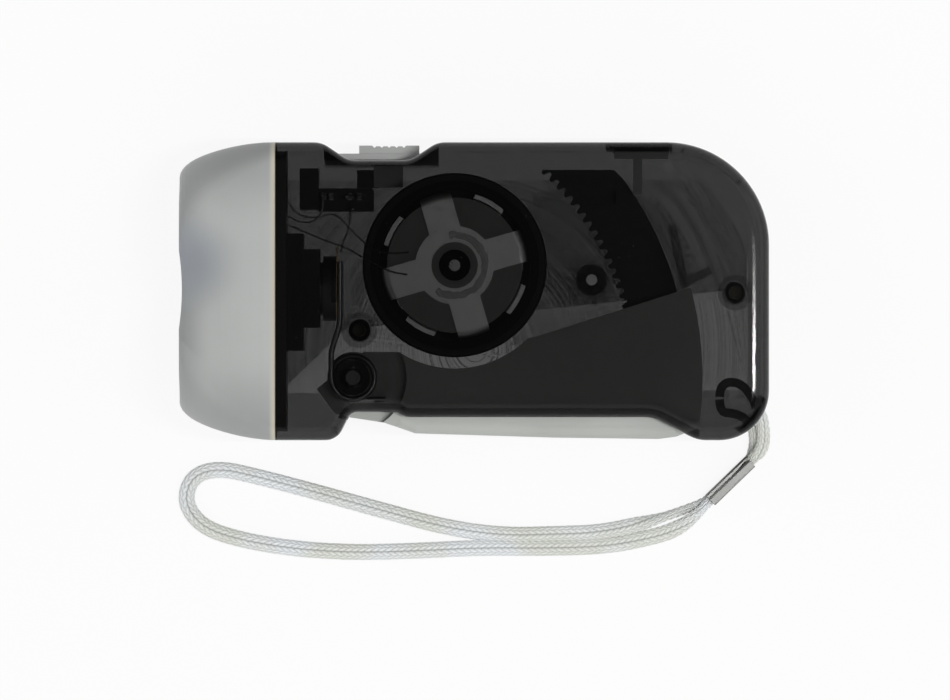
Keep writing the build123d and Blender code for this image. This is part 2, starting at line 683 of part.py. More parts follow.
def sector_screws():
    """Two small pan head screws that hold the sector to the lever's posts."""
    high = SECTOR_LOW + SECTOR_THICK + TOUCH
    screws = []
    for centre in sector_screw_places():
        screw = bar(centre, 0.85, SECTOR_LOW - 4, high) + bar(centre, 1.6, high, high + 1.0)
        slot = Pos(centre[0], centre[1], high + 1.0) * Box(0.4, 2.2, 0.8)
        screws.append(screw - slot - slot.rotate(Axis(centre + (0,), (0, 0, 1)), 90))
    return Compound(children=screws)


WHEEL_TOP = WHEEL_LOW + WHEEL_FACE
HUB_LOW = WHEEL_LOW - 0.9
WHEEL_HUB_TOP = HUB_LOW + WHEEL_HUB_HEIGHT
PINION_LOW = WHEEL_HUB_TOP + TOUCH
PINION_TOP = PINION_LOW + PINION_HEIGHT


def idler_wheel():
    """The large translucent wheel: a thin web between a toothed rim and a hub."""
    wheel = gear(IDLER, WHEEL_TEETH, WHEEL_MODULE, WHEEL_ADDENDUM_SHARE, FLYWHEEL_ANGLE, WHEEL_LOW, WHEEL_TOP)
    rim = WHEEL_RADIUS - 2.4
    dish = 0.45
    wheel -= ring(IDLER, rim, WHEEL_HUB_RADIUS, WHEEL_TOP - dish, WHEEL_TOP + 1)
    wheel -= ring(IDLER, rim, WHEEL_HUB_RADIUS, WHEEL_LOW - 1, WHEEL_LOW + dish)
    wheel += bar(IDLER, WHEEL_HUB_RADIUS, HUB_LOW, WHEEL_HUB_TOP)
    return wheel - bar(IDLER, AXLE_RADIUS + RUNNING, 0, THICK)


def drive_pinion():
    """The long small pinion that the sector turns."""
    pinion = gear(IDLER, PINION_TEETH, SECTOR_MODULE, SECTOR_ADDENDUM_SHARE, IDLER_ANGLE, PINION_LOW, PINION_TOP)
    return pinion - bar(IDLER, AXLE_RADIUS + RUNNING, 0, THICK)


def flywheel_pinion():
    """The flywheel's own pinion, in mesh with the idler wheel."""
    gap_angle = FLYWHEEL_ANGLE + math.pi + math.pi / FLYWHEEL_PINION_TEETH
    high = FLYWHEEL_LOW - TOUCH
    pinion = gear(
        FLYWHEEL, FLYWHEEL_PINION_TEETH, WHEEL_MODULE, WHEEL_ADDENDUM_SHARE, gap_angle, WHEEL_LOW - 0.6, high
    )
    return pinion - bar(FLYWHEEL, AXLE_RADIUS + RUNNING, 0, THICK)


def axle(centre):
    """A plain steel pin held in both shells."""
    return bar(centre, AXLE_RADIUS - TOUCH, Z_FLOOR + PIN_SEAT + TOUCH, Z_ROOF - PIN_SEAT - TOUCH)


# ------------------------------------------------------------------ dynamo
MAGNET_OUTER = FLYWHEEL_RADIUS - FLYWHEEL_RIM - TOUCH
MAGNET_INNER = MAGNET_OUTER - MAGNET_WALL
CLAW_RADIUS = MAGNET_INNER - AIR_GAP
FLYWHEEL_TOP = FLYWHEEL_LOW + FLYWHEEL_HEIGHT
WEB_TOP = FLYWHEEL_LOW + FLYWHEEL_WEB
REAR_PLATE_LOW = WEB_TOP + 0.6
FRONT_PLATE_TOP = FLYWHEEL_TOP - 0.1


def flywheel():
    """The cup-shaped flywheel: rim, web with five holes, and hub."""
    wheel = ring(FLYWHEEL, FLYWHEEL_RADIUS, FLYWHEEL_RADIUS - FLYWHEEL_RIM, FLYWHEEL_LOW, FLYWHEEL_TOP)
    wheel += bar(FLYWHEEL, FLYWHEEL_RADIUS - FLYWHEEL_RIM + 0.1, FLYWHEEL_LOW, WEB_TOP)
    wheel -= bar(FLYWHEEL, AXLE_RADIUS + RUNNING, 0, THICK)
    for i in range(5):
        hole = polar(FLYWHEEL, FLYWHEEL_RADIUS * 0.6, 2 * math.pi * i / 5)
        wheel -= bar(hole, 2.4, FLYWHEEL_LOW - 1, WEB_TOP + 1)
    rim = wheel.edges().filter_by(GeomType.CIRCLE).group_by(Axis.Z)[-1].sort_by(SortBy.RADIUS)[-1]
    return chamfer(rim, 0.4)


def ring_magnet():
    """The ring magnet pressed into the flywheel."""
    return ring(FLYWHEEL, MAGNET_OUTER, MAGNET_INNER, WEB_TOP + TOUCH, FLYWHEEL_TOP - 0.5)


def claw_plate(disc_low, disc_high, tip_low, tip_high, first_angle):
    """A stamped disc with claws that are bent over at the rim."""
    sheet = bar(FLYWHEEL, CLAW_DISC_RADIUS, disc_low, disc_high)
    for i in range(CLAW_COUNT):
        angle = first_angle + 360 / CLAW_COUNT * i
        turn = Pos(FLYWHEEL[0], FLYWHEEL[1], 0) * Rot(0, 0, angle)
        flat = turn * brick(CLAW_DISC_RADIUS - 2, CLAW_RADIUS + 1, -CLAW_WIDTH / 2, CLAW_WIDTH / 2, disc_low, disc_high)
        claw = turn * brick(0, CLAW_RADIUS + 1, -CLAW_WIDTH / 2, CLAW_WIDTH / 2, tip_low, tip_high)
        claw &= ring(FLYWHEEL, CLAW_RADIUS, CLAW_RADIUS - CLAW_SHEET, tip_low, tip_high)
        sheet += flat & bar(FLYWHEEL, CLAW_RADIUS, disc_low, disc_high)
        sheet += claw
    return sheet - bar(FLYWHEEL, BOBBIN_HUB + TOUCH, 0, THICK)


def stator_front():
    """The claw plate that faces the viewer; its claws are bent away from them with a rounded bend."""
    low = REAR_PLATE_LOW + CLAW_SHEET + 0.6
    plate_solid = claw_plate(FRONT_PLATE_TOP - CLAW_SHEET, FRONT_PLATE_TOP, low, FRONT_PLATE_TOP, CLAW_ANGLE)
    rims = plate_solid.edges().filter_by(GeomType.CIRCLE).group_by(Axis.Z)[-1]
    bends = [edge for edge in rims if edge.radius > CLAW_RADIUS - 0.1]
    return fillet(bends, CLAW_BEND)


def stator_rear():
    """The claw plate at the back; its claws come forward between the front ones."""
    high = FRONT_PLATE_TOP - CLAW_SHEET - 0.6
    angle = CLAW_ANGLE + 180 / CLAW_COUNT
    return claw_plate(REAR_PLATE_LOW, REAR_PLATE_LOW + CLAW_SHEET, REAR_PLATE_LOW, high, angle)


BOBBIN_LOW = REAR_PLATE_LOW + CLAW_SHEET + TOUCH
BOBBIN_HIGH = FRONT_PLATE_TOP - CLAW_SHEET - TOUCH
BOBBIN_REACH = CLAW_RADIUS - CLAW_SHEET - 0.3


def bobbin():
    """The clear spool inside the claws, glued on the upper shell's boss."""
    spool = bar(FLYWHEEL, BOBBIN_HUB, REAR_PLATE_LOW - 0.1, FRONT_PLATE_TOP + 0.3)
    spool += bar(FLYWHEEL, BOBBIN_REACH, BOBBIN_LOW, BOBBIN_LOW + BOBBIN_FLANGE)
    spool += bar(FLYWHEEL, BOBBIN_REACH, BOBBIN_HIGH - BOBBIN_FLANGE, BOBBIN_HIGH)
    return spool - bar(FLYWHEEL, AXLE_RADIUS + BOSS_WALL + TOUCH, 0, THICK)


def coil_winding():
    """The copper winding, a plain ring between the spool's flanges."""
    low = BOBBIN_LOW + BOBBIN_FLANGE + TOUCH
    return ring(FLYWHEEL, BOBBIN_REACH - 0.5, BOBBIN_HUB + TOUCH, low, BOBBIN_HIGH - BOBBIN_FLANGE - TOUCH)


# ------------------------------------------------------------------ lever
HUB_PLATE_TOP = LEVER_HIGH - HUB_DROP
HUB_TOP = HUB_PLATE_TOP + 3.4
GRIP_LOW = Y_FOOT + LEVER_GRIP_DEPTH


def lever_plan(low, high):
    """The lever's side view as a slab: grip edge below, straight back edge above, room for the flywheel."""
    px, py = PIVOT
    end = px + LEVER_REACH
    points = [
        (px - 6.5, py - 2.0),
        (px - 3.3, py - 6.3),
        (px - 0.6, Y_GRIP - 0.05),
        (px + 5.6, Y_GRIP - 1.0),
        (px + 11.1, GRIP_LOW + 1.0),
        (end - 26.6, GRIP_LOW + 0.25),
        (end - 7.8, GRIP_LOW),
        (end - 4.7, GRIP_LOW + 0.4),
        (end - 2.1, GRIP_LOW + 1.4),
        (end + 3.8, GRIP_LOW + 5.3),
        (end + 3.8, py + 17.9),
        (end - 29.4, py + 7.4),
        (end - 42.2, py + 4.5),
        (px + 1.9, py + EYE_RADIUS),
        (px - 4.0, py + 0.0),
    ]
    slab = plate(points, low, high) & bar(PIVOT, LEVER_REACH, low, high)
    slab += bar(PIVOT, EYE_RADIUS, low, high)
    return slab - bar(FLYWHEEL, FLYWHEEL_RADIUS + FLYWHEEL_ROOM, low - 1, high + 1)


def lever_channel():
    """The space between the lever's side walls, open towards the gears."""
    px, py = PIVOT
    low = LEVER_LOW + LEVER_WALL
    high = LEVER_HIGH - LEVER_WALL
    wall = LEVER_GRIP_WALL
    end = px + LEVER_REACH
    points = [
        (px - 3.0, py + 8.0),
        (px - 5.0, py - 2.0),
        (px - 2.6, py - 4.9),
        (px + 6.0, Y_GRIP - 1.0 + wall),
        (px + 11.1, GRIP_LOW + 1.0 + wall),
        (end - 26.6, GRIP_LOW + 0.25 + wall),
        (end - 7.8, GRIP_LOW + wall),
        (end - 4.9, GRIP_LOW + 0.3 + wall),
        (end + 3.8, GRIP_LOW + 5.3 + wall),
        (end + 3.8, Y_TOP),
        (px - 3.0, Y_TOP),
    ]
    return plate(points, low, high) & bar(PIVOT, LEVER_REACH - LEVER_END_WALL, low, high)


def lever():
    """The press lever: a rounded channel with a hub at the pivot and two posts for the sector."""
    body = lever_plan(LEVER_LOW, LEVER_HIGH)
    grip = [e for e in body.edges() if e.center().Y < Y_GRIP - 0.3 and abs(e.length) > 1.5]
    grip = [e for e in grip if abs(e.center().Z - LEVER_LOW) < 0.01 or abs(e.center().Z - LEVER_HIGH) < 0.01]
    body = fillet(grip, LEVER_ROUND)
    body -= lever_channel()
    body -= brick(PIVOT[0] + 6, X_TAIL, PIVOT[1] + 9.9, Y_TOP, LEVER_LOW + LEVER_WALL, LEVER_HIGH - LEVER_WALL)
    inner = HUB_STEP_RADIUS
    body -= bar(PIVOT, inner, HUB_PLATE_TOP, LEVER_HIGH + 1)
    step = ring(PIVOT, inner + LEVER_WALL, inner, HUB_PLATE_TOP - LEVER_WALL, LEVER_HIGH)
    disc = bar(PIVOT, inner + 0.1, HUB_PLATE_TOP - LEVER_WALL, HUB_PLATE_TOP)
    body += (step + disc) & lever_plan(LEVER_LOW, LEVER_HIGH)
    body += bar(PIVOT, HUB_RADIUS, LEVER_LOW, HUB_TOP)
    body -= bar(PIVOT, PIVOT_PIN_RADIUS + RUNNING, 0, THICK)
    for centre in sector_screw_places():
        body += bar(centre, 1.7, LEVER_LOW + LEVER_WALL - 0.1, SECTOR_LOW - TOUCH)
        body -= bar(centre, 0.87, SECTOR_LOW - 4.2, SECTOR_LOW + 1)
    post = (PIVOT[0] + 4.6, PIVOT[1] - SPRING_RADIUS - SPRING_WIRE / 2 - 0.8 - TOUCH)
    body += bar(post, 0.8, HUB_PLATE_TOP - 0.1, HUB_PLATE_TOP + 2.2)
    return body


def pivot_pin():
    """The pin that the lever turns on, chamfered and dimpled at its top."""
    top = Z_ROOF - PIN_OVERLAP - TOUCH
    pin = bar(PIVOT, PIVOT_PIN_RADIUS - TOUCH, Z_FLOOR + PIN_OVERLAP + TOUCH, top)
    pin = chamfer(pin.edges().group_by(Axis.Z)[-1], PIN_CHAMFER)
    return pin - bar(PIVOT, PIN_DIMPLE_RADIUS, top - PIN_CHAMFER, top)


# ------------------------------------------------------------------ return spring
SPRING_RADIUS = HUB_RADIUS + 0.25 + SPRING_WIRE / 2
SPRING_LOW = HUB_PLATE_TOP + SPRING_WIRE / 2 + 0.4
SPRING_TOP = SPRING_LOW + (SPRING_TURNS + 0.25) * SPRING_PITCH
SPRING_LEG_X = CELL_END + TOUCH + CONTACT_THICK + 0.35


def biarc(start, start_direction, end, end_direction):
    """Two tangent arcs between two points with given directions."""
    chord = end - start
    total = start_direction + end_direction
    slope = 2 * (1 - start_direction.dot(end_direction))
    along = chord.dot(total)
    reach = (-along + math.sqrt(along * along + slope * chord.dot(chord))) / slope
    first = start + start_direction * reach
    last = end - end_direction * reach
    middle = (first + last) * 0.5
    across = (last - first).normalized()
    return [Edge.make_tangent_arc(start, start_direction, middle), Edge.make_tangent_arc(middle, across, end)]


def coil_point(angle):
    """Where the spring's wire is, and its direction, after it has wound clockwise through an angle."""
    rise = SPRING_PITCH / (2 * math.pi)
    place = math.radians(SPRING_START) - angle
    x, y = polar(PIVOT, SPRING_RADIUS, place)
    direction = Vector(SPRING_RADIUS * math.sin(place), -SPRING_RADIUS * math.cos(place), rise)
    return Vector(x, y, SPRING_LOW + rise * angle), direction.normalized()


SPRING_START = 270.0
SPRING_QUARTERS = 4 * SPRING_TURNS + 1


def return_spring():
    """The torsion spring as one wire: a leg on the lever's post, the coil, and the long leg up beside the cells."""
    start, direction = coil_point(0)
    foot = start - direction * SPRING_FOOT
    edges = [Line(foot, start)]
    for i in range(SPRING_QUARTERS):
        a, a_direction = coil_point(math.radians(90 * i))
        b, b_direction = coil_point(math.radians(90 * (i + 1)))
        edges += biarc(a, a_direction, b, b_direction)
    end, direction = coil_point(math.radians(90 * SPRING_QUARTERS))
    bend = end + direction * 4.6
    knee = (SPRING_LEG_X, PIVOT[1] + 9.6, bend.Z + 0.1)
    leg_top = (SPRING_LEG_X, PIVOT[1] + 20.7, end.Z + 0.4)
    leg = FilletPolyline(end, bend, knee, leg_top, radius=3.0)
    path = Wire(edges + list(leg.edges()))
    section = Plane(origin=foot, z_dir=coil_point(0)[1]) * Circle(SPRING_WIRE / 2)
    solid = sweep(section, path=path)
    expected = math.pi * (SPRING_WIRE / 2) ** 2 * path.length
    print("return spring: volume share", round(solid.volume / expected, 4),
          "gap to itself", round(self_gap(path, SPRING_WIRE), 2))
    return solid


# ------------------------------------------------------------------ switch and lock
def switch_knob():
    """The ribbed thumb knob on its sliding base, with the stem through the slot."""
    top = Y_TOP - 0.5
    base_top = Y_NOTCH + KNOB_BASE_THICK
    left = KNOB_RIGHT - KNOB_LENGTH
    half = KNOB_WIDTH / 2
    knob = brick(left, KNOB_RIGHT, base_top - 0.1, top, Z_MID - half, Z_MID + half)
    first = (left + KNOB_RIGHT) / 2 - KNOB_RIB_PITCH * KNOB_RIB_COUNT / 2
    for i in range(KNOB_RIB_COUNT + 1):
        x = first + KNOB_RIB_PITCH * i
        groove = Pos(x, top + 0.1, Z_MID) * Rot(0, 0, 45) * Box(0.75, 0.75, KNOB_WIDTH + 2)
        knob -= groove
    dip = brick(first - 0.1, first + KNOB_RIB_PITCH * KNOB_RIB_COUNT + 0.1, top - 0.12, top + 1, 0, THICK)
    knob -= dip
    base_half = KNOB_BASE_WIDTH / 2
    base_left = KNOB_BASE_RIGHT - KNOB_BASE_LENGTH
    knob += brick(base_left, KNOB_BASE_RIGHT, Y_NOTCH + TOUCH, base_top, Z_MID - base_half, Z_MID + base_half)
    half_stem = STEM_WIDTH / 2
    knob += brick(STEM_LEFT, STEM_RIGHT, STEM_LOW, Y_NOTCH + 0.1, Z_MID - half_stem, Z_MID + half_stem)
    return knob - brick(STEM_LEFT - 1, STEM_LEFT + 0.9, SWITCH_TOP - 1, TAB_TOP + 0.1, Z_MID - 1.55, Z_MID + 1.55)


SWITCH_TOP = Y_NOTCH - 4.9
STEM_LOW = FLYWHEEL[1] + math.sqrt((FLYWHEEL_RADIUS + GAP) ** 2 - (FLYWHEEL[0] - STEM_RIGHT) ** 2)
TAB_TOP = SWITCH_TOP + 3.25
SWITCH_RIGHT = STEM_LEFT - 0.25
SWITCH_LEFT = SWITCH_RIGHT - 9.6


def switch_tab():
    """The slide switch's own tab, carried along by the knob's stem."""
    return brick(STEM_LEFT - 3.0, STEM_LEFT + 0.85, SWITCH_TOP + 0.05, TAB_TOP, Z_MID - 1.5, Z_MID + 1.5)


def switch_body():
    """The closed case of the slide switch."""
    return brick(SWITCH_LEFT, SWITCH_RIGHT, SWITCH_TOP - 4.1, SWITCH_TOP, Z_MID - 2.8, Z_MID + 2.8)


def switch_terminals():
    """Four solder tags on the side of the switch."""
    tags = []
    for offset in (1.0, 2.3, 5.6, 7.3):
        x = SWITCH_LEFT + offset
        low = Z_MID + 2.8 + TOUCH
        tag = brick(x - 0.35, x + 0.35, SWITCH_TOP - 2.1, SWITCH_TOP - 0.9, low, low + 1.4)
        tags.append(tag + Pos(x, SWITCH_TOP - 1.5, low + 1.3) * Sphere(0.55))
    return Compound(children=tags)


def switch_bracket():
    """The dark upright that the switch is clipped to."""
    right = SWITCH_LEFT - TOUCH
    post = brick(right - 3.3, right, SWITCH_TOP - 3.8, SWITCH_TOP + 3.5, Z_FLOOR + TOUCH, Z_ROOF - 5)
    shelf = brick(right - 0.1, SWITCH_RIGHT + 0.2, SWITCH_TOP - 4.1, SWITCH_TOP - 0.2, Z_FLOOR + TOUCH, Z_MID - 2.8 - TOUCH)
    return post + shelf


def lock_slider():
    """The lock: a ribbed thumb pad, a plate behind the wall and a leg that reaches the sector's catch."""
    top = Y_TOP - 0.35
    left = LOCK_RIGHT - LOCK_LENGTH
    half = LOCK_WIDTH / 2
    inner = Y_TOP - WALL
    pad = brick(left, LOCK_RIGHT, inner - 0.2, top, Z_MID - half, Z_MID + half)
    for i in range(4):
        x = left + 0.8 + 1.42 * i
        pad += Pos(x, top, Z_MID) * Rot(0, 0, 45) * Box(0.45, 0.45, LOCK_WIDTH)
    pad += brick(LOCK_RIGHT - 3.2, LOCK_RIGHT - 0.4, top - 0.1, top + 0.3, Z_MID - half, Z_MID + half)
    flange = brick(left + 0.2, LOCK_RIGHT - 0.2, inner - 1.1, inner - 0.1, Z_MID - half - 2, Z_MID + half + 2)
    low = SECTOR_LOW + SECTOR_THICK + 0.6
    leg_right = LOCK_LEG_LEFT + LOCK_LEG_WIDTH
    leg = brick(LOCK_LEG_LEFT, leg_right, inner - 1.1 - LOCK_LEG_REACH, inner - 1.0, low, low + 3.0)
    return pad + flange + leg


# ------------------------------------------------------------------ fasteners
def housing_screws():
    """Self-tapping screws with flush heads that draw the two shells together."""
    screws = []
    for centre in SCREWS:
        head = bar(centre, SCREW_HEAD_RADIUS, 0, SCREW_HEAD_HEIGHT - TOUCH)
        shank = bar(centre, SCREW_RADIUS - TOUCH, 0, SCREW_LENGTH)
        slot = Pos(centre[0], centre[1], 0) * Box(0.6, 2.6, 1.4)
        screws.append(head + shank - slot - slot.rotate(Axis(centre + (0,), (0, 0, 1)), 90))
    return Compound(children=screws)


# ------------------------------------------------------------------ wires and strap
def bend_radii(points):
    """Each corner's radius: as large as its two runs leave room for."""
    radii = []
    for before, here, after in zip(points, points[1:], points[2:]):
        arriving = Vector(here) - Vector(before)
        leaving = Vector(after) - Vector(here)
        turn = math.radians(arriving.get_angle(leaving))
        radii.append(0.45 * min(arriving.length, leaving.length) / math.tan(turn / 2))
    return radii


def cable(points, radius, name):
    """A round cord of straight runs joined by tangent arcs."""
    radii = bend_radii(points)
    path = FilletPolyline(*points, radius=radii)
    section = Plane(origin=path @ 0, z_dir=path % 0) * Circle(radius)
    solid = sweep(section, path=path)
    expected = math.pi * radius ** 2 * path.length
    print(name, "length", round(path.length, 1), "volume share", round(solid.volume / expected, 4),
          "smallest bend radius", round(min(radii), 2))
    return solid, path


# The route of each lead and of the strap is chosen by hand, from the parts that it starts and ends on.
def route(*stretches):
    """One line of points from stretches that are given as offsets from their own anchors."""
    return [(a[0] + x, a[1] + y, a[2] + z) for a, offsets in stretches for x, y, z in offsets]


BACK_CORNER = (X_JOINT, Y_TOP, Z_MID)
BACK_ROOF = (X_JOINT, Y_TOP, Z_ROOF)
COIL_RIM = (FLYWHEEL[0], FLYWHEEL[1], Z_ROOF)
TAIL_POST = (STRAP_POST[0], STRAP_POST[1], Z_MID / 2)
COIL_LEAD_1 = route(
    (BACK_CORNER, [(2.1, -10.5, 6.0), (3.9, -12.9, 7.0)]),
    (BACK_ROOF, [(7.1, -13.6, -5.0), (10.5, -12.4, -3.2), (13.7, -15.9, -1.3)]),
    (COIL_RIM, [(-14.6, 2.6, -0.8), (-10.8, 2.0, -0.9), (-8.2, 2.3, -1.2)]),
)
COIL_LEAD_2 = route(
    (BACK_ROOF, [(2.1, -14.6, -3.6), (5.1, -15.9, -3.2), (9.1, -17.6, -2.5), (12.7, -18.8, -1.4)]),
    (COIL_RIM, [(-15.4, 0.8, -0.8), (-11.4, -1.2, -0.9), (-8.4, -1.7, -1.2)]),
)
SWITCH_LEAD = route(
    (BACK_CORNER, [(8.4, -10.3, 4.6), (8.3, -12.3, 5.3), (6.9, -14.1, 5.2), (4.5, -14.3, 4.4), (2.1, -13.1, 3.8)]),
)
CELL_LEAD = route(
    (BACK_CORNER, [(13.2, -10.5, 4.6), (13.3, -12.9, 4.9), (12.9, -15.5, 3.8)]),
    ((SPRING_LEG_X, Y_TOP, Z_MID), [(0.45, -17.9, 2.6), (0.1, -19.5, 1.9)]),
)
# The strap: round the post, out of the tail, through the ferrule, round the wrist loop and back the same way.
STRAP_ROUTE = route((TAIL_POST, [
    (-2.7, 0.11, 0.9), (-2.7, 2.71, 0.9), (1.5, 2.76, 0.9), (4.7, -2.9, 0.9), (5.25, -6.4, -0.6),
    (5.0, -9.3, -2.3), (2.85, -11.47, -3.7), (-4.34, -18.42, -3.65), (-6.6, -20.94, -4.2), (-10.5, -23.8, -6.35),
    (-15.7, -25.34, -6.38), (-23.2, -26.74, -6.35), (-34.2, -27.04, -6.38), (-45.7, -26.94, -6.35),
    (-57.2, -27.54, -6.38), (-68.7, -27.84, -6.35), (-80.2, -27.04, -6.38), (-89.9, -25.24, -6.35),
    (-95.7, -23.04, -6.38), (-98.7, -18.84, -6.35), (-97.4, -14.24, -6.38), (-92.7, -12.64, -6.35),
    (-85.7, -14.14, -6.38), (-74.7, -17.04, -6.35), (-63.2, -20.24, -6.38), (-51.7, -23.34, -6.35),
    (-41.7, -24.74, -6.38), (-32.7, -24.54, -6.35), (-23.7, -24.24, -6.38), (-15.7, -22.44, -6.35),
    (-9.2, -20.3, -6.38), (-4.34, -18.42, -6.0), (2.65, -11.66, -6.0), (3.4, -8.9, -5.3), (3.4, -6.9, -2.7),
    (2.9, -4.5, -1.3), (0.3, -2.79, -0.9), (-2.7, -2.74, -0.9), (-2.7, -0.19, -0.9),
]))
FERRULE_ENDS = (STRAP_ROUTE[6], STRAP_ROUTE[7])


def self_gap(path, diameter):
    """The least gap between stretches of one cord that aren't neighbours along it."""
    count = 700
    points = [path @ (i / (count - 1)) for i in range(count)]
    step = path.length / (count - 1)
    near = int(3 * diameter / step) + 1
    pairs = ((i, j) for i in range(count) for j in range(i + near, min(count, i + count - near)))
    return min((points[i] - points[j]).length for i, j in pairs) - diameter


def strap_ferrule():
    """The steel clip that is folded round both runs of the strap, with its open seam."""
    a, b = Vector(FERRULE_ENDS[0]), Vector(FERRULE_ENDS[1])
    middle = (a + b) * 0.5
    angle = math.degrees(math.atan2(b.Y - a.Y, b.X - a.X))
    half_width = STRAP_RADIUS + FERRULE_SHEET - 0.1
    height = 4 * STRAP_RADIUS + 0.15 + 2 * FERRULE_SHEET
    shape = Rot(0, 90, 0) * extrude(RectangleRounded(height, 2 * half_width, 1.1), FERRULE_LENGTH)
    bore = Rot(0, 90, 0) * extrude(
        RectangleRounded(height - 2 * FERRULE_SHEET, 2 * (half_width - FERRULE_SHEET), 0.75), FERRULE_LENGTH + 2
    )
    clip = shape - Pos(-1, 0, 0) * bore
    seam = Pos(FERRULE_LENGTH / 2, 0.5, height / 2) * Rot(0, 0, 2.2) * Box(FERRULE_LENGTH + 2, 0.5, 2)
    clip -= seam
    return Pos(middle.X, middle.Y, height / 2) * Rot(0, 0, angle) * Pos(-FERRULE_LENGTH / 2, 0, 0) * clip


def cords():
    """All leads and the strap."""
    made = {}
    for name, points in (
        ("coil_lead_1", COIL_LEAD_1), ("coil_lead_2", COIL_LEAD_2),
        ("switch_lead", SWITCH_LEAD), ("cell_lead", CELL_LEAD),
    ):
        made[name], path = cable(points, WIRE_RADIUS, name)
    made["strap_cord"], path = cable(STRAP_ROUTE, STRAP_RADIUS, "strap_cord")
    print("strap gap to itself", round(self_gap(path, 2 * STRAP_RADIUS), 2))
    return made


# ------------------------------------------------------------------ the whole flashlight
def build():
    """Every node of the flashlight by its name."""
    body = housing()
    nodes = {
        "lower_shell": lower_shell(body),
        "upper_shell": upper_shell(body),
        "head_cap": head_cap(),
        "front_lens": front_lens(),
        "led_board": led_board(),
        "lamp_frame": lamp_frame(),
        "cell_holder": cell_holder(),
        "button_cells": button_cells(),
        "cell_contact": cell_contact(),
        "idler_axle": axle(IDLER),
        "flywheel_axle": axle(FLYWHEEL),
        "idler_wheel": idler_wheel(),
        "drive_pinion": drive_pinion(),
        "flywheel_pinion": flywheel_pinion(),
        "flywheel": flywheel(),
        "ring_magnet": ring_magnet(),
        "stator_front": stator_front(),
        "stator_rear": stator_rear(),
        "bobbin": bobbin(),
        "coil_winding": coil_winding(),
        "sector_gear": sector_gear(),
        "sector_screws": sector_screws(),
        "lever": lever(),
        "pivot_pin": pivot_pin(),
        "return_spring": return_spring(),
        "switch_knob": switch_knob(),
        "switch_tab": switch_tab(),
        "switch_body": switch_body(),
        "switch_terminals": switch_terminals(),
        "switch_bracket": switch_bracket(),
        "lock_slider": lock_slider(),
        "housing_screws": housing_screws(),
        "strap_ferrule": strap_ferrule(),
    }
    for name, y in lamp_places().items():
        nodes["reflector_" + name] = reflector(y)
        nodes["led_" + name] = led(y)
    nodes.update(cords())
    return nodes


for node_name, shape in build().items():
    export_step(shape, os.path.join("parts", node_name + ".step"))
    print(node_name, round(shape.volume, 1))
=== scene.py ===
# %% [markdown]
# # A hand squeeze flashlight in smoke clear plastic
#
# The object is a dynamo flashlight that lies on its side. Its housing is see-through, so most of what shows
# is inside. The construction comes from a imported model, the frame. This script gives its pieces their
# finishes, and adds what is soft or too fine for the frame: the braided wrist strap, its folded clip, and
# drops of glue and solder. All lengths are in metres, written as millimetres times MM.

# %% Load the frame
import bmesh
import bpy
import math
from mathutils import Matrix, Vector
from mathutils import noise as noise_tools


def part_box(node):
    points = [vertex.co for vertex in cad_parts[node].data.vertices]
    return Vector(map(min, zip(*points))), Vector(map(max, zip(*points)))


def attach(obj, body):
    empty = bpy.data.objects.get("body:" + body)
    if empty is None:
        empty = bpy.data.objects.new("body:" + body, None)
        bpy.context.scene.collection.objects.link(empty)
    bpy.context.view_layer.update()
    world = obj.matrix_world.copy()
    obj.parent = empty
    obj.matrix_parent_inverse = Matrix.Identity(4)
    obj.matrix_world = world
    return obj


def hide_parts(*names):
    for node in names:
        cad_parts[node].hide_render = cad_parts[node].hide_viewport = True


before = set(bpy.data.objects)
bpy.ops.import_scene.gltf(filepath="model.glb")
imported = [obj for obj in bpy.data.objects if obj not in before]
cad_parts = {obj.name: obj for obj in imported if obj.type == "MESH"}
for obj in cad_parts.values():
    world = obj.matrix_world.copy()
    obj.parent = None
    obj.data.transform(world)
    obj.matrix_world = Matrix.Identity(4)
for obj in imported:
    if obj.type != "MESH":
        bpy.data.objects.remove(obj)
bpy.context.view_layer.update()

MM = 0.001

# %% [markdown]
# ## Camera, floor and light
#
# The picture looks straight down on the flashlight from far away, so nothing is foreshortened. A long lens
# on a distant camera gives that, where a short one would show the housing's sides. The floor is white. It
# is lit like any floor, and on top of that it glows a little for the camera alone, so that it stays white
# without more light on the object.

# %% Camera
scene = bpy.context.scene
scene.view_settings.view_transform = "Standard"

PIXEL = 105 / 588 * MM
FRAME_WIDTH = 950 * PIXEL
CENTRE_X = 0.2 * MM
CENTRE_Y = -10.45 * MM
BODY_MIDDLE = 15 * MM
LENS = 600

camera_data = bpy.data.cameras.new("camera")
camera_data.lens = LENS
camera_data.sensor_width = 36
camera_data.clip_end = 20
camera = bpy.data.objects.new("camera", camera_data)
scene.collection.objects.link(camera)
distance = FRAME_WIDTH * camera_data.lens / camera_data.sensor_width
camera.location = (CENTRE_X, CENTRE_Y, BODY_MIDDLE + distance)
scene.camera = camera
print("camera height", round(distance, 2), "m")


# %% Node helpers
def new_material(name):
    """An empty node material with its Principled shader."""
    material = bpy.data.materials.new(name)
    material.use_nodes = True
    tree = material.node_tree
    tree.nodes.clear()
    shader = tree.nodes.new("ShaderNodeBsdfPrincipled")
    output = tree.nodes.new("ShaderNodeOutputMaterial")
    tree.links.new(shader.outputs["BSDF"], output.inputs["Surface"])
    return material, tree, shader


def add_node(tree, kind, values=None, **links):
    """A node with its input values set by name, and its inputs linked by name."""
    node = tree.nodes.new("ShaderNode" + kind)
    for key, value in (values or {}).items():
        if key in node.inputs:
            node.inputs[key].default_value = value
        else:
            setattr(node, key, value)
    for key, socket in links.items():
        tree.links.new(socket, node.inputs[key])
    return node


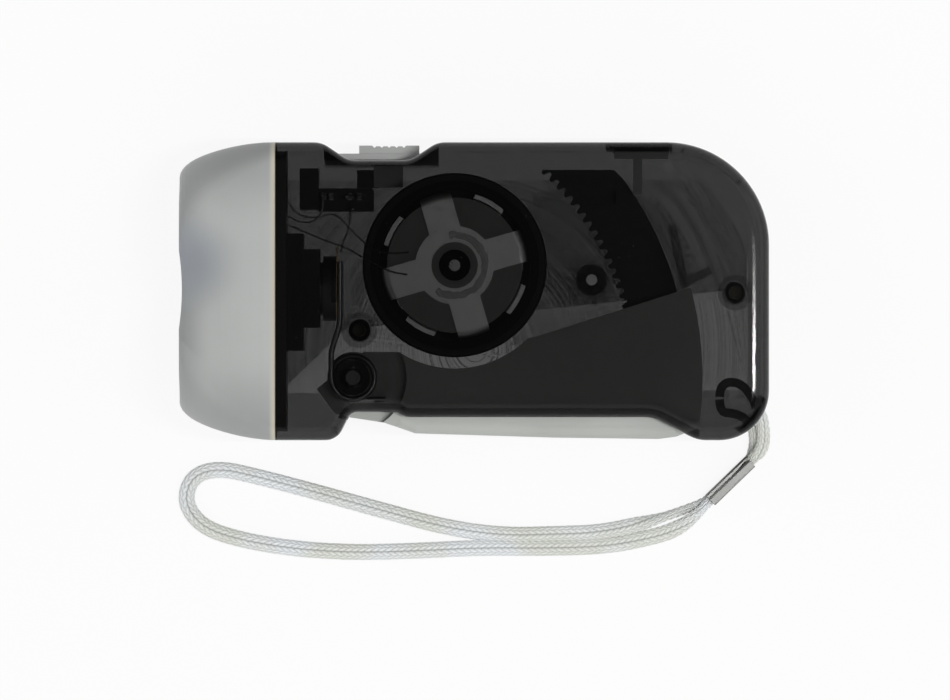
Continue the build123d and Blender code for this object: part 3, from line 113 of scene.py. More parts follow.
def srgb(red, green, blue):
    """A colour read from a screen, as the linear colour that a shader takes."""
    def linear(value):
        value /= 255
        return value / 12.92 if value <= 0.04045 else ((value + 0.055) / 1.055) ** 2.4
    return (linear(red), linear(green), linear(blue), 1.0)


# %% Floor
FLOOR_GLOW = 0.9


def floor_material():
    """White, lit by the lamps, with a glow for the camera and for rays that metal and clear plastic send."""
    material, tree, shader = new_material("floor")
    shader.inputs["Base Color"].default_value = (0.86, 0.86, 0.86, 1)
    shader.inputs["Roughness"].default_value = 0.9
    shader.inputs["Specular IOR Level"].default_value = 0.0
    rays = add_node(tree, "LightPath")
    seen = add_node(tree, "Math", {"operation": "MAXIMUM"})
    tree.links.new(rays.outputs["Is Camera Ray"], seen.inputs[0])
    tree.links.new(rays.outputs["Is Transmission Ray"], seen.inputs[1])
    glossy = add_node(tree, "Math", {"operation": "MAXIMUM"})
    tree.links.new(seen.outputs[0], glossy.inputs[0])
    tree.links.new(rays.outputs["Is Glossy Ray"], glossy.inputs[1])
    glow = add_node(tree, "Emission", {"Color": (1, 1, 1, 1), "Strength": 1.0})
    share = add_node(tree, "Math", {"operation": "MULTIPLY"})
    tree.links.new(glossy.outputs[0], share.inputs[0])
    share.inputs[1].default_value = FLOOR_GLOW
    mix = add_node(tree, "MixShader")
    tree.links.new(share.outputs[0], mix.inputs["Fac"])
    tree.links.new(shader.outputs["BSDF"], mix.inputs[1])
    tree.links.new(glow.outputs["Emission"], mix.inputs[2])
    output = next(n for n in tree.nodes if n.type == "OUTPUT_MATERIAL")
    tree.links.new(mix.outputs[0], output.inputs["Surface"])
    return material


floor_mesh = bpy.data.meshes.new("floor")
bm = bmesh.new()
bmesh.ops.create_grid(bm, x_segments=1, y_segments=1, size=3.0)
bm.to_mesh(floor_mesh)
bm.free()
floor = bpy.data.objects.new("floor", floor_mesh)
scene.collection.objects.link(floor)
floor.data.materials.append(floor_material())


# %% Lamps
def softbox(name, place, width, height, power):
    """A rectangular lamp that points at the flashlight."""
    data = bpy.data.lights.new(name, "AREA")
    data.shape = "RECTANGLE"
    data.size = width
    data.size_y = height
    data.energy = power
    lamp = bpy.data.objects.new(name, data)
    lamp.location = place
    aim = Vector((0, 0, BODY_MIDDLE)) - Vector(place)
    lamp.rotation_euler = aim.to_track_quat("-Z", "Y").to_euler()
    scene.collection.objects.link(lamp)
    return lamp


softbox("softbox_left", (-1.3, 0.1, 0.9), 1.6, 1.6, 10.0)
softbox("softbox_right", (1.3, 0.1, 0.9), 1.6, 1.6, 9.0)
softbox("softbox_front", (0.0, -1.3, 0.8), 1.8, 1.8, 11.0)
# A narrow lamp high up gives the one thin bright line on the tail's rounded edge, and the gloss on the metal.
strip = softbox("strip_above", (0.27, -0.013, 1.0), 0.3, 0.012, 3.7)
strip.rotation_euler = (0, math.radians(15), 0)

world = bpy.data.worlds.new("studio")
scene.world = world
world.use_nodes = True
background = world.node_tree.nodes["Background"]
background.inputs["Color"].default_value = (1.0, 1.0, 1.0, 1)
background.inputs["Strength"].default_value = 0.08


# %% [markdown]
# ## Shared surface effects
#
# Moulded plastic isn't even: its gloss drifts, it picks up hairline scratches from the pocket, and dust
# sits in it. Sheet metal carries a grain from rolling. Each effect is a node group that is built once. A
# material places it with its own numbers, and only values that change over the surface leave the group.

# %% Groups
def new_group(name, inputs, outputs):
    """A shader group with its named inputs (with defaults) and outputs."""
    group = bpy.data.node_groups.new(name, "ShaderNodeTree")
    for key, default in inputs.items():
        socket = group.interface.new_socket(key, in_out="INPUT", socket_type="NodeSocketFloat")
        socket.default_value = default
    for key in outputs:
        group.interface.new_socket(key, in_out="OUTPUT", socket_type="NodeSocketFloat")
    start = group.nodes.new("NodeGroupInput")
    end = group.nodes.new("NodeGroupOutput")
    return group, start, end


def math_node(tree, operation, a, b=None, c=None):
    """A Math node on sockets or plain numbers; gives its output."""
    node = tree.nodes.new("ShaderNodeMath")
    node.operation = operation
    for i, value in enumerate((a, b, c)):
        if value is None:
            continue
        if isinstance(value, (int, float)):
            node.inputs[i].default_value = value
        else:
            tree.links.new(value, node.inputs[i])
    return node.outputs[0]


def noise(tree, vector, scale, detail=2.0, roughness=0.5):
    """A noise texture's value on a vector."""
    node = add_node(tree, "TexNoise", {"Detail": detail, "Roughness": roughness}, Vector=vector)
    if isinstance(scale, (int, float)):
        node.inputs["Scale"].default_value = scale
    else:
        tree.links.new(scale, node.inputs["Scale"])
    return node.outputs["Fac"]


def stretched(tree, vector, scale, turn=0.0):
    """A vector scaled differently along each axis and turned about Z."""
    mapping = add_node(tree, "Mapping", {"Scale": scale, "Rotation": (0, 0, turn)}, Vector=vector)
    return mapping.outputs["Vector"]


def make_wear_group():
    """Moulded surface: a height for Bump and a roughness that drifts, with hairline scratches both ways."""
    group, start, end = new_group(
        "moulded_wear",
        {
            "Grain Scale": 9000.0, "Grain Height": 0.15, "Scratch Height": 0.5, "Base Roughness": 0.2,
            "Drift": 0.12,
        },
        ["Height", "Roughness", "Mask"],
    )
    where = add_node(group, "TexCoord").outputs["Object"]
    grain = noise(group, where, start.outputs["Grain Scale"], 3)
    total = math_node(group, "MULTIPLY", grain, start.outputs["Grain Height"])
    scratches = None
    for turn in (0.35, 1.9, 2.75):
        lines = noise(group, stretched(group, where, (90, 5200, 700), turn), 1.0, 1)
        line = math_node(group, "GREATER_THAN", lines, 0.735)
        scratches = line if scratches is None else math_node(group, "MAXIMUM", scratches, line)
    cut = math_node(group, "MULTIPLY", scratches, start.outputs["Scratch Height"])
    height = math_node(group, "SUBTRACT", total, cut)
    drift = math_node(group, "SUBTRACT", noise(group, where, 45.0, 4), 0.5)
    rough = math_node(group, "MULTIPLY_ADD", drift, start.outputs["Drift"], start.outputs["Base Roughness"])
    rough = math_node(group, "MULTIPLY_ADD", scratches, 0.03, rough)
    group.links.new(height, end.inputs["Height"])
    group.links.new(rough, end.inputs["Roughness"])
    group.links.new(scratches, end.inputs["Mask"])
    return group


def make_metal_group():
    """Rolled or turned metal: fine lines along one way and cloudy patches."""
    group, start, end = new_group(
        "metal_grain",
        {"Lines Across": 9000.0, "Lines Along": 250.0, "Line Height": 0.4, "Base Roughness": 0.3},
        ["Height", "Roughness", "Mask"],
    )
    where = add_node(group, "TexCoord").outputs["Object"]
    scale = add_node(group, "CombineXYZ")
    group.links.new(start.outputs["Lines Along"], scale.inputs["X"])
    group.links.new(start.outputs["Lines Across"], scale.inputs["Y"])
    group.links.new(start.outputs["Lines Across"], scale.inputs["Z"])
    vector = add_node(group, "VectorMath", {"operation": "MULTIPLY"})
    group.links.new(where, vector.inputs[0])
    group.links.new(scale.outputs[0], vector.inputs[1])
    lines = noise(group, vector.outputs[0], 1.0, 2)
    cloud = noise(group, where, 260.0, 4, 0.6)
    group.links.new(math_node(group, "MULTIPLY", lines, start.outputs["Line Height"]), end.inputs["Height"])
    rough = math_node(group, "MULTIPLY_ADD", cloud, 0.22, start.outputs["Base Roughness"])
    group.links.new(math_node(group, "SUBTRACT", rough, 0.11), end.inputs["Roughness"])
    group.links.new(cloud, end.inputs["Mask"])
    return group


def make_dust_group():
    """Dust: tiny specks scattered over a surface, as a mask."""
    group, start, end = new_group("dust_specks", {"Scale": 900.0, "Amount": 0.12}, ["Mask"])
    where = add_node(group, "TexCoord").outputs["Object"]
    cells = add_node(group, "TexVoronoi", {"Randomness": 1.0}, Vector=where)
    group.links.new(start.outputs["Scale"], cells.inputs["Scale"])
    size = math_node(group, "MULTIPLY", noise(group, where, 330.0, 1), start.outputs["Amount"])
    near = math_node(group, "LESS_THAN", cells.outputs["Distance"], size)
    patches = math_node(group, "GREATER_THAN", noise(group, where, 140.0, 2), 0.5)
    group.links.new(math_node(group, "MULTIPLY", near, patches), end.inputs["Mask"])
    return group


WEAR = make_wear_group()
METAL = make_metal_group()
DUST = make_dust_group()


def place_group(tree, group, **values):
    """A group in a material, with its inputs set; underscores stand for spaces."""
    node = tree.nodes.new("ShaderNodeGroup")
    node.node_tree = group
    for key, value in values.items():
        node.inputs[key.replace("_", " ")].default_value = value
    return node


def bump(tree, shader, height, distance, strength=1.0):
    """Feeds a height into the shader's normal through a Bump node."""
    node = add_node(tree, "Bump", {"Strength": strength, "Distance": distance}, Height=height)
    tree.links.new(node.outputs["Normal"], shader.inputs["Normal"])


def mix_colour(tree, share, low, high):
    """A colour between two colours or sockets; gives its output."""
    node = tree.nodes.new("ShaderNodeMix")
    node.data_type = "RGBA"
    tree.links.new(share, node.inputs["Factor"])
    for socket, value in ((node.inputs[6], low), (node.inputs[7], high)):
        if isinstance(value, tuple):
            socket.default_value = value
        else:
            tree.links.new(value, socket)
    return node.outputs[2]


def tint(colour, factor):
    """A colour made lighter or darker."""
    return tuple(min(1.0, c * factor) for c in colour[:3]) + (1.0,)


# %% [markdown]
# ## Plastics
#
# The housing is smoke tinted clear plastic. Real tinted plastic swallows light inside its wall. Glass with
# absorption would show that, but it is noisy and is lost on export, so the surface is partly see-through
# instead: each time a ray passes a face of the wall, part of it is stopped. Two faces make one wall. The
# other plastics are plain and opaque.

# %% Plastic materials
def plastic(name, colour, roughness, grain=0.15, scratches=0.25, drift=0.1, sheen=0.0):
    """Opaque moulded plastic with an uneven gloss and colour."""
    material, tree, shader = new_material(name)
    wear = place_group(
        tree, WEAR, Grain_Height=grain, Scratch_Height=scratches, Base_Roughness=roughness, Drift=drift,
    )
    where = add_node(tree, "TexCoord").outputs["Object"]
    cloud = noise(tree, where, 70.0, 4)
    tree.links.new(mix_colour(tree, cloud, tint(colour, 0.9), tint(colour, 1.1)), shader.inputs["Base Color"])
    tree.links.new(wear.outputs["Roughness"], shader.inputs["Roughness"])
    bump(tree, shader, wear.outputs["Height"], 0.00003)
    return material


def between(tree, value, low, high):
    """One where a value lies between two numbers, else zero."""
    return math_node(tree, "MULTIPLY", math_node(tree, "GREATER_THAN", value, low),
                     math_node(tree, "LESS_THAN", value, high))


def smoke_plastic():
    """Dark see-through plastic with specks of dust; ribs that are seen along their depth are darker."""
    material, tree, shader = new_material("smoke_plastic")
    wear = place_group(tree, WEAR, Grain_Height=0.0, Scratch_Height=0.04, Base_Roughness=0.08, Drift=0.03)
    dust = place_group(tree, DUST, Scale=900.0, Amount=0.12)
    black = (0.0012, 0.0012, 0.0012, 1)
    grey = (0.03, 0.03, 0.028, 1)
    tree.links.new(mix_colour(tree, dust.outputs["Mask"], black, grey), shader.inputs["Base Color"])
    tree.links.new(wear.outputs["Roughness"], shader.inputs["Roughness"])
    shader.inputs["IOR"].default_value = 1.49
    shader.inputs["Specular IOR Level"].default_value = 0.2
    where = add_node(tree, "TexCoord")
    cloud = noise(tree, where.outputs["Object"], 30.0, 2)
    place = add_node(tree, "SeparateXYZ", Vector=where.outputs["Object"])
    normal = add_node(tree, "SeparateXYZ", Vector=where.outputs["Normal"])
    level = math_node(tree, "GREATER_THAN", math_node(tree, "ABSOLUTE", normal.outputs["Z"]), LEVEL_NORMAL)
    deep = between(tree, place.outputs["Z"], RIB_TOPS[0], RIB_TOPS[1])
    seam = between(tree, place.outputs["Z"], SEAM[0], SEAM[1])
    deck = math_node(tree, "MULTIPLY", between(tree, place.outputs["X"], KNOB_DECK[0], KNOB_DECK[1]),
                     math_node(tree, "GREATER_THAN", place.outputs["Y"], KNOB_DECK[2]))
    alpha = math_node(tree, "MULTIPLY_ADD", cloud, ALPHA_DRIFT, SMOKE_ALPHA - ALPHA_DRIFT / 2)
    for mask, added in ((math_node(tree, "MULTIPLY", deep, level), RIB_ALPHA),
                        (math_node(tree, "MULTIPLY", seam, level), SEAM_ALPHA), (deck, DECK_ALPHA)):
        alpha = math_node(tree, "MULTIPLY_ADD", mask, added, alpha)
    rim = add_node(tree, "LayerWeight", {"Blend": 0.25})
    alpha = math_node(tree, "MULTIPLY_ADD", rim.outputs["Facing"], RIM_ALPHA, alpha)
    alpha = math_node(tree, "MINIMUM", alpha, MOST_ALPHA)
    tree.links.new(math_node(tree, "MAXIMUM", alpha, dust.outputs["Mask"]), shader.inputs["Alpha"])
    bump(tree, shader, wear.outputs["Height"], 0.00002)
    return material


def clear_plastic(name, colour, alpha, roughness):
    """Clear plastic that is partly see-through."""
    material, tree, shader = new_material(name)
    wear = place_group(tree, WEAR, Grain_Height=0.0, Scratch_Height=0.2, Base_Roughness=roughness, Drift=0.05)
    where = add_node(tree, "TexCoord").outputs["Object"]
    cloud = noise(tree, where, 60.0, 3)
    tree.links.new(mix_colour(tree, cloud, tint(colour, 0.94), colour), shader.inputs["Base Color"])
    tree.links.new(wear.outputs["Roughness"], shader.inputs["Roughness"])
    shader.inputs["Alpha"].default_value = alpha
    bump(tree, shader, wear.outputs["Height"], 0.00002)
    return material


# How much each face of the wall stops, how far that drifts, and what is added on ribs, seam, deck and rims.
SMOKE_ALPHA = 0.555
ALPHA_DRIFT = 0.04
RIB_ALPHA, SEAM_ALPHA, DECK_ALPHA, RIM_ALPHA = 0.27, -0.08, 0.2, 0.3
MOST_ALPHA = 0.97
# A face is level where its normal's Z is above this.
LEVEL_NORMAL = 0.9
# Level faces between these heights are the tops of ribs and posts; the two shells meet at the seam.
RIB_TOPS = (2.2 * MM, 26.6 * MM)
SEAM = (14.8 * MM, 15.2 * MM)
# The thicker wall under the switch's knob: from and to along X, and its inner edge along Y.
KNOB_DECK = (-26.6 * MM, -6.3 * MM, 22.3 * MM)
SMOKE = smoke_plastic()
LEVER_GREY = plastic("lever_plastic", srgb(176, 179, 174), 0.42)
WHEEL_CLEAR = clear_plastic("wheel_plastic", (0.03, 0.03, 0.03, 1), 0.2, 0.3)
KNOB_GREY = plastic("knob_plastic", srgb(182, 184, 182), 0.4)
BLACK = plastic("black_plastic", (0.006, 0.006, 0.0062, 1), 0.45)
SECTOR_BLACK = plastic("sector_plastic", (0.005, 0.005, 0.005, 1), 0.5)
PALE = plastic("gear_plastic", srgb(150, 152, 148), 0.4)
SPOOL = plastic("spool_plastic", srgb(140, 142, 138), 0.35)
BOARD = plastic("board_green", (0.02, 0.12, 0.05, 1), 0.4)
FRAME_GREY = plastic("frame_plastic", (0.05, 0.05, 0.048, 1), 0.4, 0.6, 0.6)


# %% Frosted cap
LENS_EDGE, HEAD_BACK = (corner[0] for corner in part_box("head_cap"))


def eased(tree, value, low, high):
    """A mask that runs smoothly from zero at one value to one at another; it may also run downwards."""
    node = add_node(tree, "MapRange", {"interpolation_type": "SMOOTHSTEP"}, Value=value)
    node.inputs["From Min"].default_value = low
    node.inputs["From Max"].default_value = high
    return node.outputs["Result"]


def frosted_plastic():
    """Grey frosted plastic with painted shade at its sides, front and scoop, and warmer at its thin rear rim.
    """
    material, tree, shader = new_material("frosted_plastic")
    wear = place_group(
        tree, WEAR, Grain_Scale=5200.0, Grain_Height=0.5, Scratch_Height=0.12, Base_Roughness=0.42,
    )
    where = add_node(tree, "TexCoord").outputs["Object"]
    parts = add_node(tree, "SeparateXYZ", Vector=where)
    rim = eased(tree, parts.outputs["X"], HEAD_BACK - 1.3 * MM, HEAD_BACK - 0.3 * MM)
    cloud = noise(tree, where, 42.0, 4, 0.55)
    body = mix_colour(tree, cloud, srgb(176, 178, 177), srgb(190, 192, 190))
    # Painted shade: the grey is made darker towards the cap's sides, its front edge and in the scoop, where
    # the surface turns away from the lamps.
    sides = math_node(tree, "ABSOLUTE", parts.outputs["Y"])
    shade = mix_colour(tree, eased(tree, sides, 10 * MM, 25.5 * MM), body, srgb(157, 159, 158))
    front = eased(tree, parts.outputs["X"], LENS_EDGE + 6 * MM, LENS_EDGE)
    shade = mix_colour(tree, front, shade, srgb(158, 160, 160))
    reach = add_node(tree, "VectorMath", {"operation": "DISTANCE"})
    flat = add_node(tree, "CombineXYZ", None, X=parts.outputs["X"], Y=parts.outputs["Y"])
    tree.links.new(flat.outputs[0], reach.inputs[0])
    reach.inputs[1].default_value = (LENS_EDGE + 1.5 * MM, 5 * MM, 0)
    scoop = eased(tree, reach.outputs["Value"], 11 * MM, 1 * MM)
    shade = mix_colour(tree, scoop, shade, srgb(146, 150, 156))
    colour = mix_colour(tree, rim, shade, srgb(200, 196, 180))
    tree.links.new(colour, shader.inputs["Base Color"])
    tree.links.new(wear.outputs["Roughness"], shader.inputs["Roughness"])
    shader.inputs["Subsurface Weight"].default_value = 0.25
    shader.inputs["Subsurface Radius"].default_value = (0.6, 0.6, 0.6)
    shader.inputs["Subsurface Scale"].default_value = 1.2 * MM
    bump(tree, shader, wear.outputs["Height"], 0.00004)
    return material


FROST = frosted_plastic()


# %% [markdown]
# ## Metals and small parts
#
# The claw plates are stamped from bright plated sheet, the axles and pins are turned, and the flywheel is a
# dark cast cup. All are metallic shaders. What tells them apart is the colour, the roughness and how strong
# the grain is.

# %% Metal materials
def metal(name, colour, roughness, lines=0.3, along=250.0, across=9000.0):
    """Metal with a rolled or turned grain and cloudy patches."""
    material, tree, shader = new_material(name)
    grain = place_group(
        tree, METAL, Lines_Across=across, Lines_Along=along, Line_Height=lines, Base_Roughness=roughness,
    )
    tree.links.new(mix_colour(tree, grain.outputs["Mask"], tint(colour, 0.82), tint(colour, 1.12)),
                   shader.inputs["Base Color"])
    tree.links.new(grain.outputs["Roughness"], shader.inputs["Roughness"])
    shader.inputs["Metallic"].default_value = 1.0
    bump(tree, shader, grain.outputs["Height"], 0.00003)
    return material


STEEL = metal("turned_steel", (0.62, 0.62, 0.63, 1), 0.3)
PIN_STEEL = metal("pin_steel", (0.22, 0.22, 0.22, 1), 0.3)
CLAW_STEEL = metal("stamped_steel", (0.92, 0.92, 0.9, 1), 0.42, 0.5)
SPRING_STEEL = metal("spring_wire", (0.3, 0.3, 0.3, 1), 0.32)
CAST = metal("cast_flywheel", (0.03, 0.03, 0.032, 1), 0.5, 0.6, 3000.0, 3000.0)
FERRITE = metal("ferrite", (0.015, 0.015, 0.015, 1), 0.6, 0.5, 5000.0, 5000.0)
ZINC = metal("yellow_zinc", (0.5, 0.47, 0.33, 1), 0.35)
SOLDER = metal("solder_tin", (0.6, 0.6, 0.6, 1), 0.35, 0.1)
BRASS = metal("contact_brass", (0.7, 0.55, 0.3, 1), 0.3)
CELL_CAN = metal("cell_can", (0.3, 0.3, 0.3, 1), 0.5)
MIRROR = metal("mirror_plate", (0.86, 0.86, 0.87, 1), 0.12, 0.02)
COPPER = metal("copper_wire", (0.72, 0.32, 0.14, 1), 0.35, 1.0, 4000.0, 9000.0)
CLIP_STEEL = metal("clip_steel", (0.34, 0.34, 0.33, 1), 0.5, 0.04)


# %% Lens, lamps and leads
LENS_CLEAR = clear_plastic("lens_plastic", (0.8, 0.82, 0.84, 1), 0.28, 0.06)
LED_CLEAR = clear_plastic("lamp_resin", (0.85, 0.82, 0.6, 1), 0.75, 0.08)
LEAD_DARK = clear_plastic("lead_enamel", (0.05, 0.045, 0.04, 1), 0.5, 0.35)
LEAD_PALE = plastic("lead_sleeve", srgb(196, 196, 190), 0.4)

# %% Give every node of the frame its finish
FINISHES = {
    "lower_shell": SMOKE, "upper_shell": SMOKE, "head_cap": FROST, "front_lens": LENS_CLEAR,
    "reflector_1": MIRROR, "reflector_2": MIRROR, "led_1": LED_CLEAR, "led_2": LED_CLEAR, "led_board": BOARD,
    "lamp_frame": FRAME_GREY, "cell_holder": BLACK, "button_cells": CELL_CAN, "cell_contact": BRASS,
    "idler_axle": STEEL, "flywheel_axle": STEEL, "pivot_pin": PIN_STEEL,
    "idler_wheel": WHEEL_CLEAR, "drive_pinion": WHEEL_CLEAR,
    "flywheel_pinion": PALE, "flywheel": CAST, "ring_magnet": FERRITE, "stator_front": CLAW_STEEL,
    "stator_rear": CLAW_STEEL, "bobbin": SPOOL, "coil_winding": COPPER, "sector_gear": SECTOR_BLACK,
    "sector_screws": ZINC, "lever": LEVER_GREY, "return_spring": SPRING_STEEL, "switch_knob": KNOB_GREY,
    "switch_tab": BLACK, "switch_body": BLACK, "switch_terminals": SOLDER, "switch_bracket": BLACK,
    "lock_slider": KNOB_GREY, "housing_screws": ZINC, "coil_lead_1": LEAD_DARK, "coil_lead_2": LEAD_DARK,
    "switch_lead": LEAD_PALE, "cell_lead": LEAD_DARK, "strap_ferrule": CLIP_STEEL,
}
for name, material in FINISHES.items():
    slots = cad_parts[name].data.materials
    slots.clear()
    slots.append(material)
print("nodes with a finish", len(FINISHES), "of", len(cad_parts))

# %% [markdown]
# ## The wrist strap
#
# The strap is a flat braid of white nylon yarn. It goes in at the tail, round a post, out again, through a
# steel clip and round the loop. Its route is one smooth curve. A plain ribbon along it would lack the
# chevrons of the braid, so a ring of points is pushed along the curve step by step, and each step raises
# the points where a yarn crosses.

# %% Strap route
STRAP_ROUTE = [
    (44.0, -18.85, 8.4), (44.0, -16.25, 8.4), (48.2, -16.2, 8.4), (51.4, -21.86, 8.4),
    (51.95, -25.36, 6.9), (51.7, -28.26, 5.2), (49.55, -30.43, 3.8), (42.36, -37.38, 3.85),
    (40.1, -39.9, 3.3), (36.2, -42.76, 1.15), (31.0, -44.3, 1.12), (23.5, -45.7, 1.15),
    (12.5, -46.0, 1.12), (1.0, -45.9, 1.15), (-10.5, -46.5, 1.12), (-22.0, -46.8, 1.15),
    (-33.5, -46.0, 1.12), (-43.2, -44.2, 1.15), (-49.0, -42.0, 1.12), (-52.0, -37.8, 1.15),
    (-50.7, -33.2, 1.12), (-46.0, -31.6, 1.15), (-39.0, -33.1, 1.12), (-28.0, -36.0, 1.15),
    (-16.5, -39.2, 1.12), (-5.0, -42.3, 1.15), (5.0, -43.7, 1.12), (14.0, -43.5, 1.15),
    (23.0, -43.2, 1.12), (31.0, -41.4, 1.15), (37.5, -39.26, 1.12), (42.36, -37.38, 1.5),
    (49.35, -30.62, 1.5), (50.1, -27.86, 2.2), (50.1, -25.86, 4.8), (49.6, -23.46, 6.2),
    (47.0, -21.75, 6.6), (44.0, -21.7, 6.6), (44.0, -19.15, 6.6),
]
curve = bpy.data.curves.new("strap_route", "CURVE")
curve.dimensions = "3D"
curve.resolution_u = 40
spline = curve.splines.new("NURBS")
spline.points.add(len(STRAP_ROUTE) - 1)
for point, place in zip(spline.points, STRAP_ROUTE):
    point.co = (place[0] * MM, place[1] * MM, place[2] * MM, 1)
spline.order_u = 3
spline.use_endpoint_u = True
route_object = bpy.data.objects.new("strap_route", curve)
scene.collection.objects.link(route_object)
bpy.context.view_layer.update()
route_mesh = bpy.data.meshes.new_from_object(route_object)
route = [vertex.co.copy() for vertex in route_mesh.vertices]
bpy.data.objects.remove(route_object)
route_length = sum((b - a).length for a, b in zip(route, route[1:]))
print("strap route", len(route), "points,", round(route_length / MM, 1), "mm")

# %% Strap mesh
STRAP_WIDTH = 2.75 * MM
PRESSED_WIDTH = 2.25 * MM
STRAP_THICKNESS = 1.45 * MM
STITCH_PITCH = 1.2 * MM
STITCH_RISE = 0.28 * MM
STITCH_COLUMNS = 12
RING_POINTS = 56
STEP = 0.175 * MM
FLOOR_GAP = 0.03 * MM
# Lower exponents make the stitches' tops and the strap's section squarer.
CREST_ROUNDING, COLUMN_ROUNDING, SECTION_ROUNDING = 0.6, 0.4, 0.8
# Stitches rise and sink about this height.
STITCH_MEAN = 0.6
# Points this close are one and the same.
WELD = 0.0005 * MM
# The strap is pressed narrower up to here from its ends, and is as wide as it lies free from there on (mm).
PRESSED_TO, FREE_FROM = 32, 42
# The tail's round corner (centre and radius), inside which the strap is shut in and painted dark as shade.
TAIL_CORNER = Vector((40.0, -14.2, 0)) * MM
CORNER_RADIUS = 12.4 * MM
CLIP_START = Vector((42.36, -37.38, 0)) * MM
CLIP_END = Vector((49.55, -30.43, 0)) * MM
# How far the strap stands on its edge, at its first end and at its last: (mm from that end, degrees).
FIRST_TWIST = [(0, 88), (8, 88), (13, 28), (18.5, 16), (23, 80), (33, 84), (42, 10), (52, 0)]
LAST_TWIST = [(0, 88), (33, 84), (42, 12), (52, 0)]


def even_points(points, step):
    """Points at even steps along a line of points, with the distance of each."""
    placed = [(points[0], 0.0)]
    travelled = 0.0
    for a, b in zip(points, points[1:]):
        length = (b - a).length
        while length > 0 and placed[-1][1] + step <= travelled + length:
            along = placed[-1][1] + step
            placed.append((a.lerp(b, (along - travelled) / length), along))
        travelled += length
    return placed


def strap_turn(along, length):
    """The strap's turn about its route, eased between the places of its nearer end's list."""
    table = FIRST_TWIST if along < length / 2 else LAST_TWIST
    from_end = min(along, length - along) / MM
    for (start, low), (end, high) in zip(table, table[1:]):
        if from_end < end:
            share = (from_end - start) / (end - start)
            return math.radians(low + (high - low) * share * share * (3 - 2 * share))
    return math.radians(table[-1][1])


def strap_width(along, length):
    """The strap's width: pressed in the clip and the housing, free in the loop."""
    share = (min(along, length - along) / MM - PRESSED_TO) / (FREE_FROM - PRESSED_TO)
    return PRESSED_WIDTH + (STRAP_WIDTH - PRESSED_WIDTH) * min(max(share, 0.0), 1.0)


def squared(value):
    """A sine or cosine that makes the section squarer than a circle."""
    return math.copysign(abs(value) ** SECTION_ROUNDING, value)


def is_shaded(place):
    """Whether a place of the strap is inside the tail's corner or in the clip."""
    flat = Vector((place.x, place.y, 0))
    along_clip = (flat - CLIP_START).dot(CLIP_END - CLIP_START) / (CLIP_END - CLIP_START).length_squared
    return (flat - TAIL_CORNER).length < CORNER_RADIUS or 0.03 < along_clip < 0.93


def stitch_height(around, along):
    """How high the braid's stitches stand, in columns that slant against each other."""
    column = around / (2 * math.pi) * STITCH_COLUMNS
    index = math.floor(column)
    across = column - index
    lean = (across - 0.5) * (1 if index % 2 else -1)
    phase = along / STITCH_PITCH + lean + 0.5 * (index % 2)
    crest = abs(math.cos(math.pi * phase)) ** CREST_ROUNDING
    return crest * max(math.sin(math.pi * across), 0.0) ** COLUMN_ROUNDING


steps = even_points(route, STEP)
bm = bmesh.new()
yarn_layer = bm.verts.layers.float.new("yarn")
shade_layer = bm.verts.layers.float.new("shade")
bmesh.ops.create_grid(bm, x_segments=len(steps) - 1, y_segments=RING_POINTS, size=0.5)
frames = []
for i, (centre, along) in enumerate(steps):
    direction = (steps[min(i + 2, len(steps) - 1)][0] - steps[max(i - 2, 0)][0]).normalized()
    flat = direction.cross(Vector((0, 0, 1))).normalized()
    up = flat.cross(direction).normalized()
    turn = strap_turn(along, route_length)
    across = flat * math.cos(turn) + up * math.sin(turn)
    frames.append((centre, across, up * math.cos(turn) - flat * math.sin(turn)))
for vertex in bm.verts:
    i = round((vertex.co.x + 0.5) * (len(steps) - 1))
    k = round((vertex.co.y + 0.5) * RING_POINTS) % RING_POINTS
    angle = 2 * math.pi * k / RING_POINTS
    height = stitch_height(angle, steps[i][1])
    centre, across, over = frames[i]
    lift = (height - STITCH_MEAN) * STITCH_RISE
    x = (strap_width(steps[i][1], route_length) / 2 + lift) * squared(math.cos(angle))
    y = (STRAP_THICKNESS / 2 + lift) * squared(math.sin(angle))
    vertex.co = centre + across * x + over * y
    vertex.co.z = max(vertex.co.z, FLOOR_GAP)
    vertex[yarn_layer] = height
    vertex[shade_layer] = float(is_shaded(centre))
bmesh.ops.remove_doubles(bm, verts=bm.verts, dist=WELD)
bmesh.ops.holes_fill(bm, edges=[e for e in bm.edges if e.is_boundary], sides=RING_POINTS)
bmesh.ops.recalc_face_normals(bm, faces=bm.faces)
for face in bm.faces:
    face.smooth = True
strap_mesh = bpy.data.meshes.new("wrist_strap")
bm.to_mesh(strap_mesh)
bm.free()
strap = bpy.data.objects.new("wrist_strap", strap_mesh)
scene.collection.objects.link(strap)
print("strap rings", len(steps), "faces", len(strap_mesh.polygons))


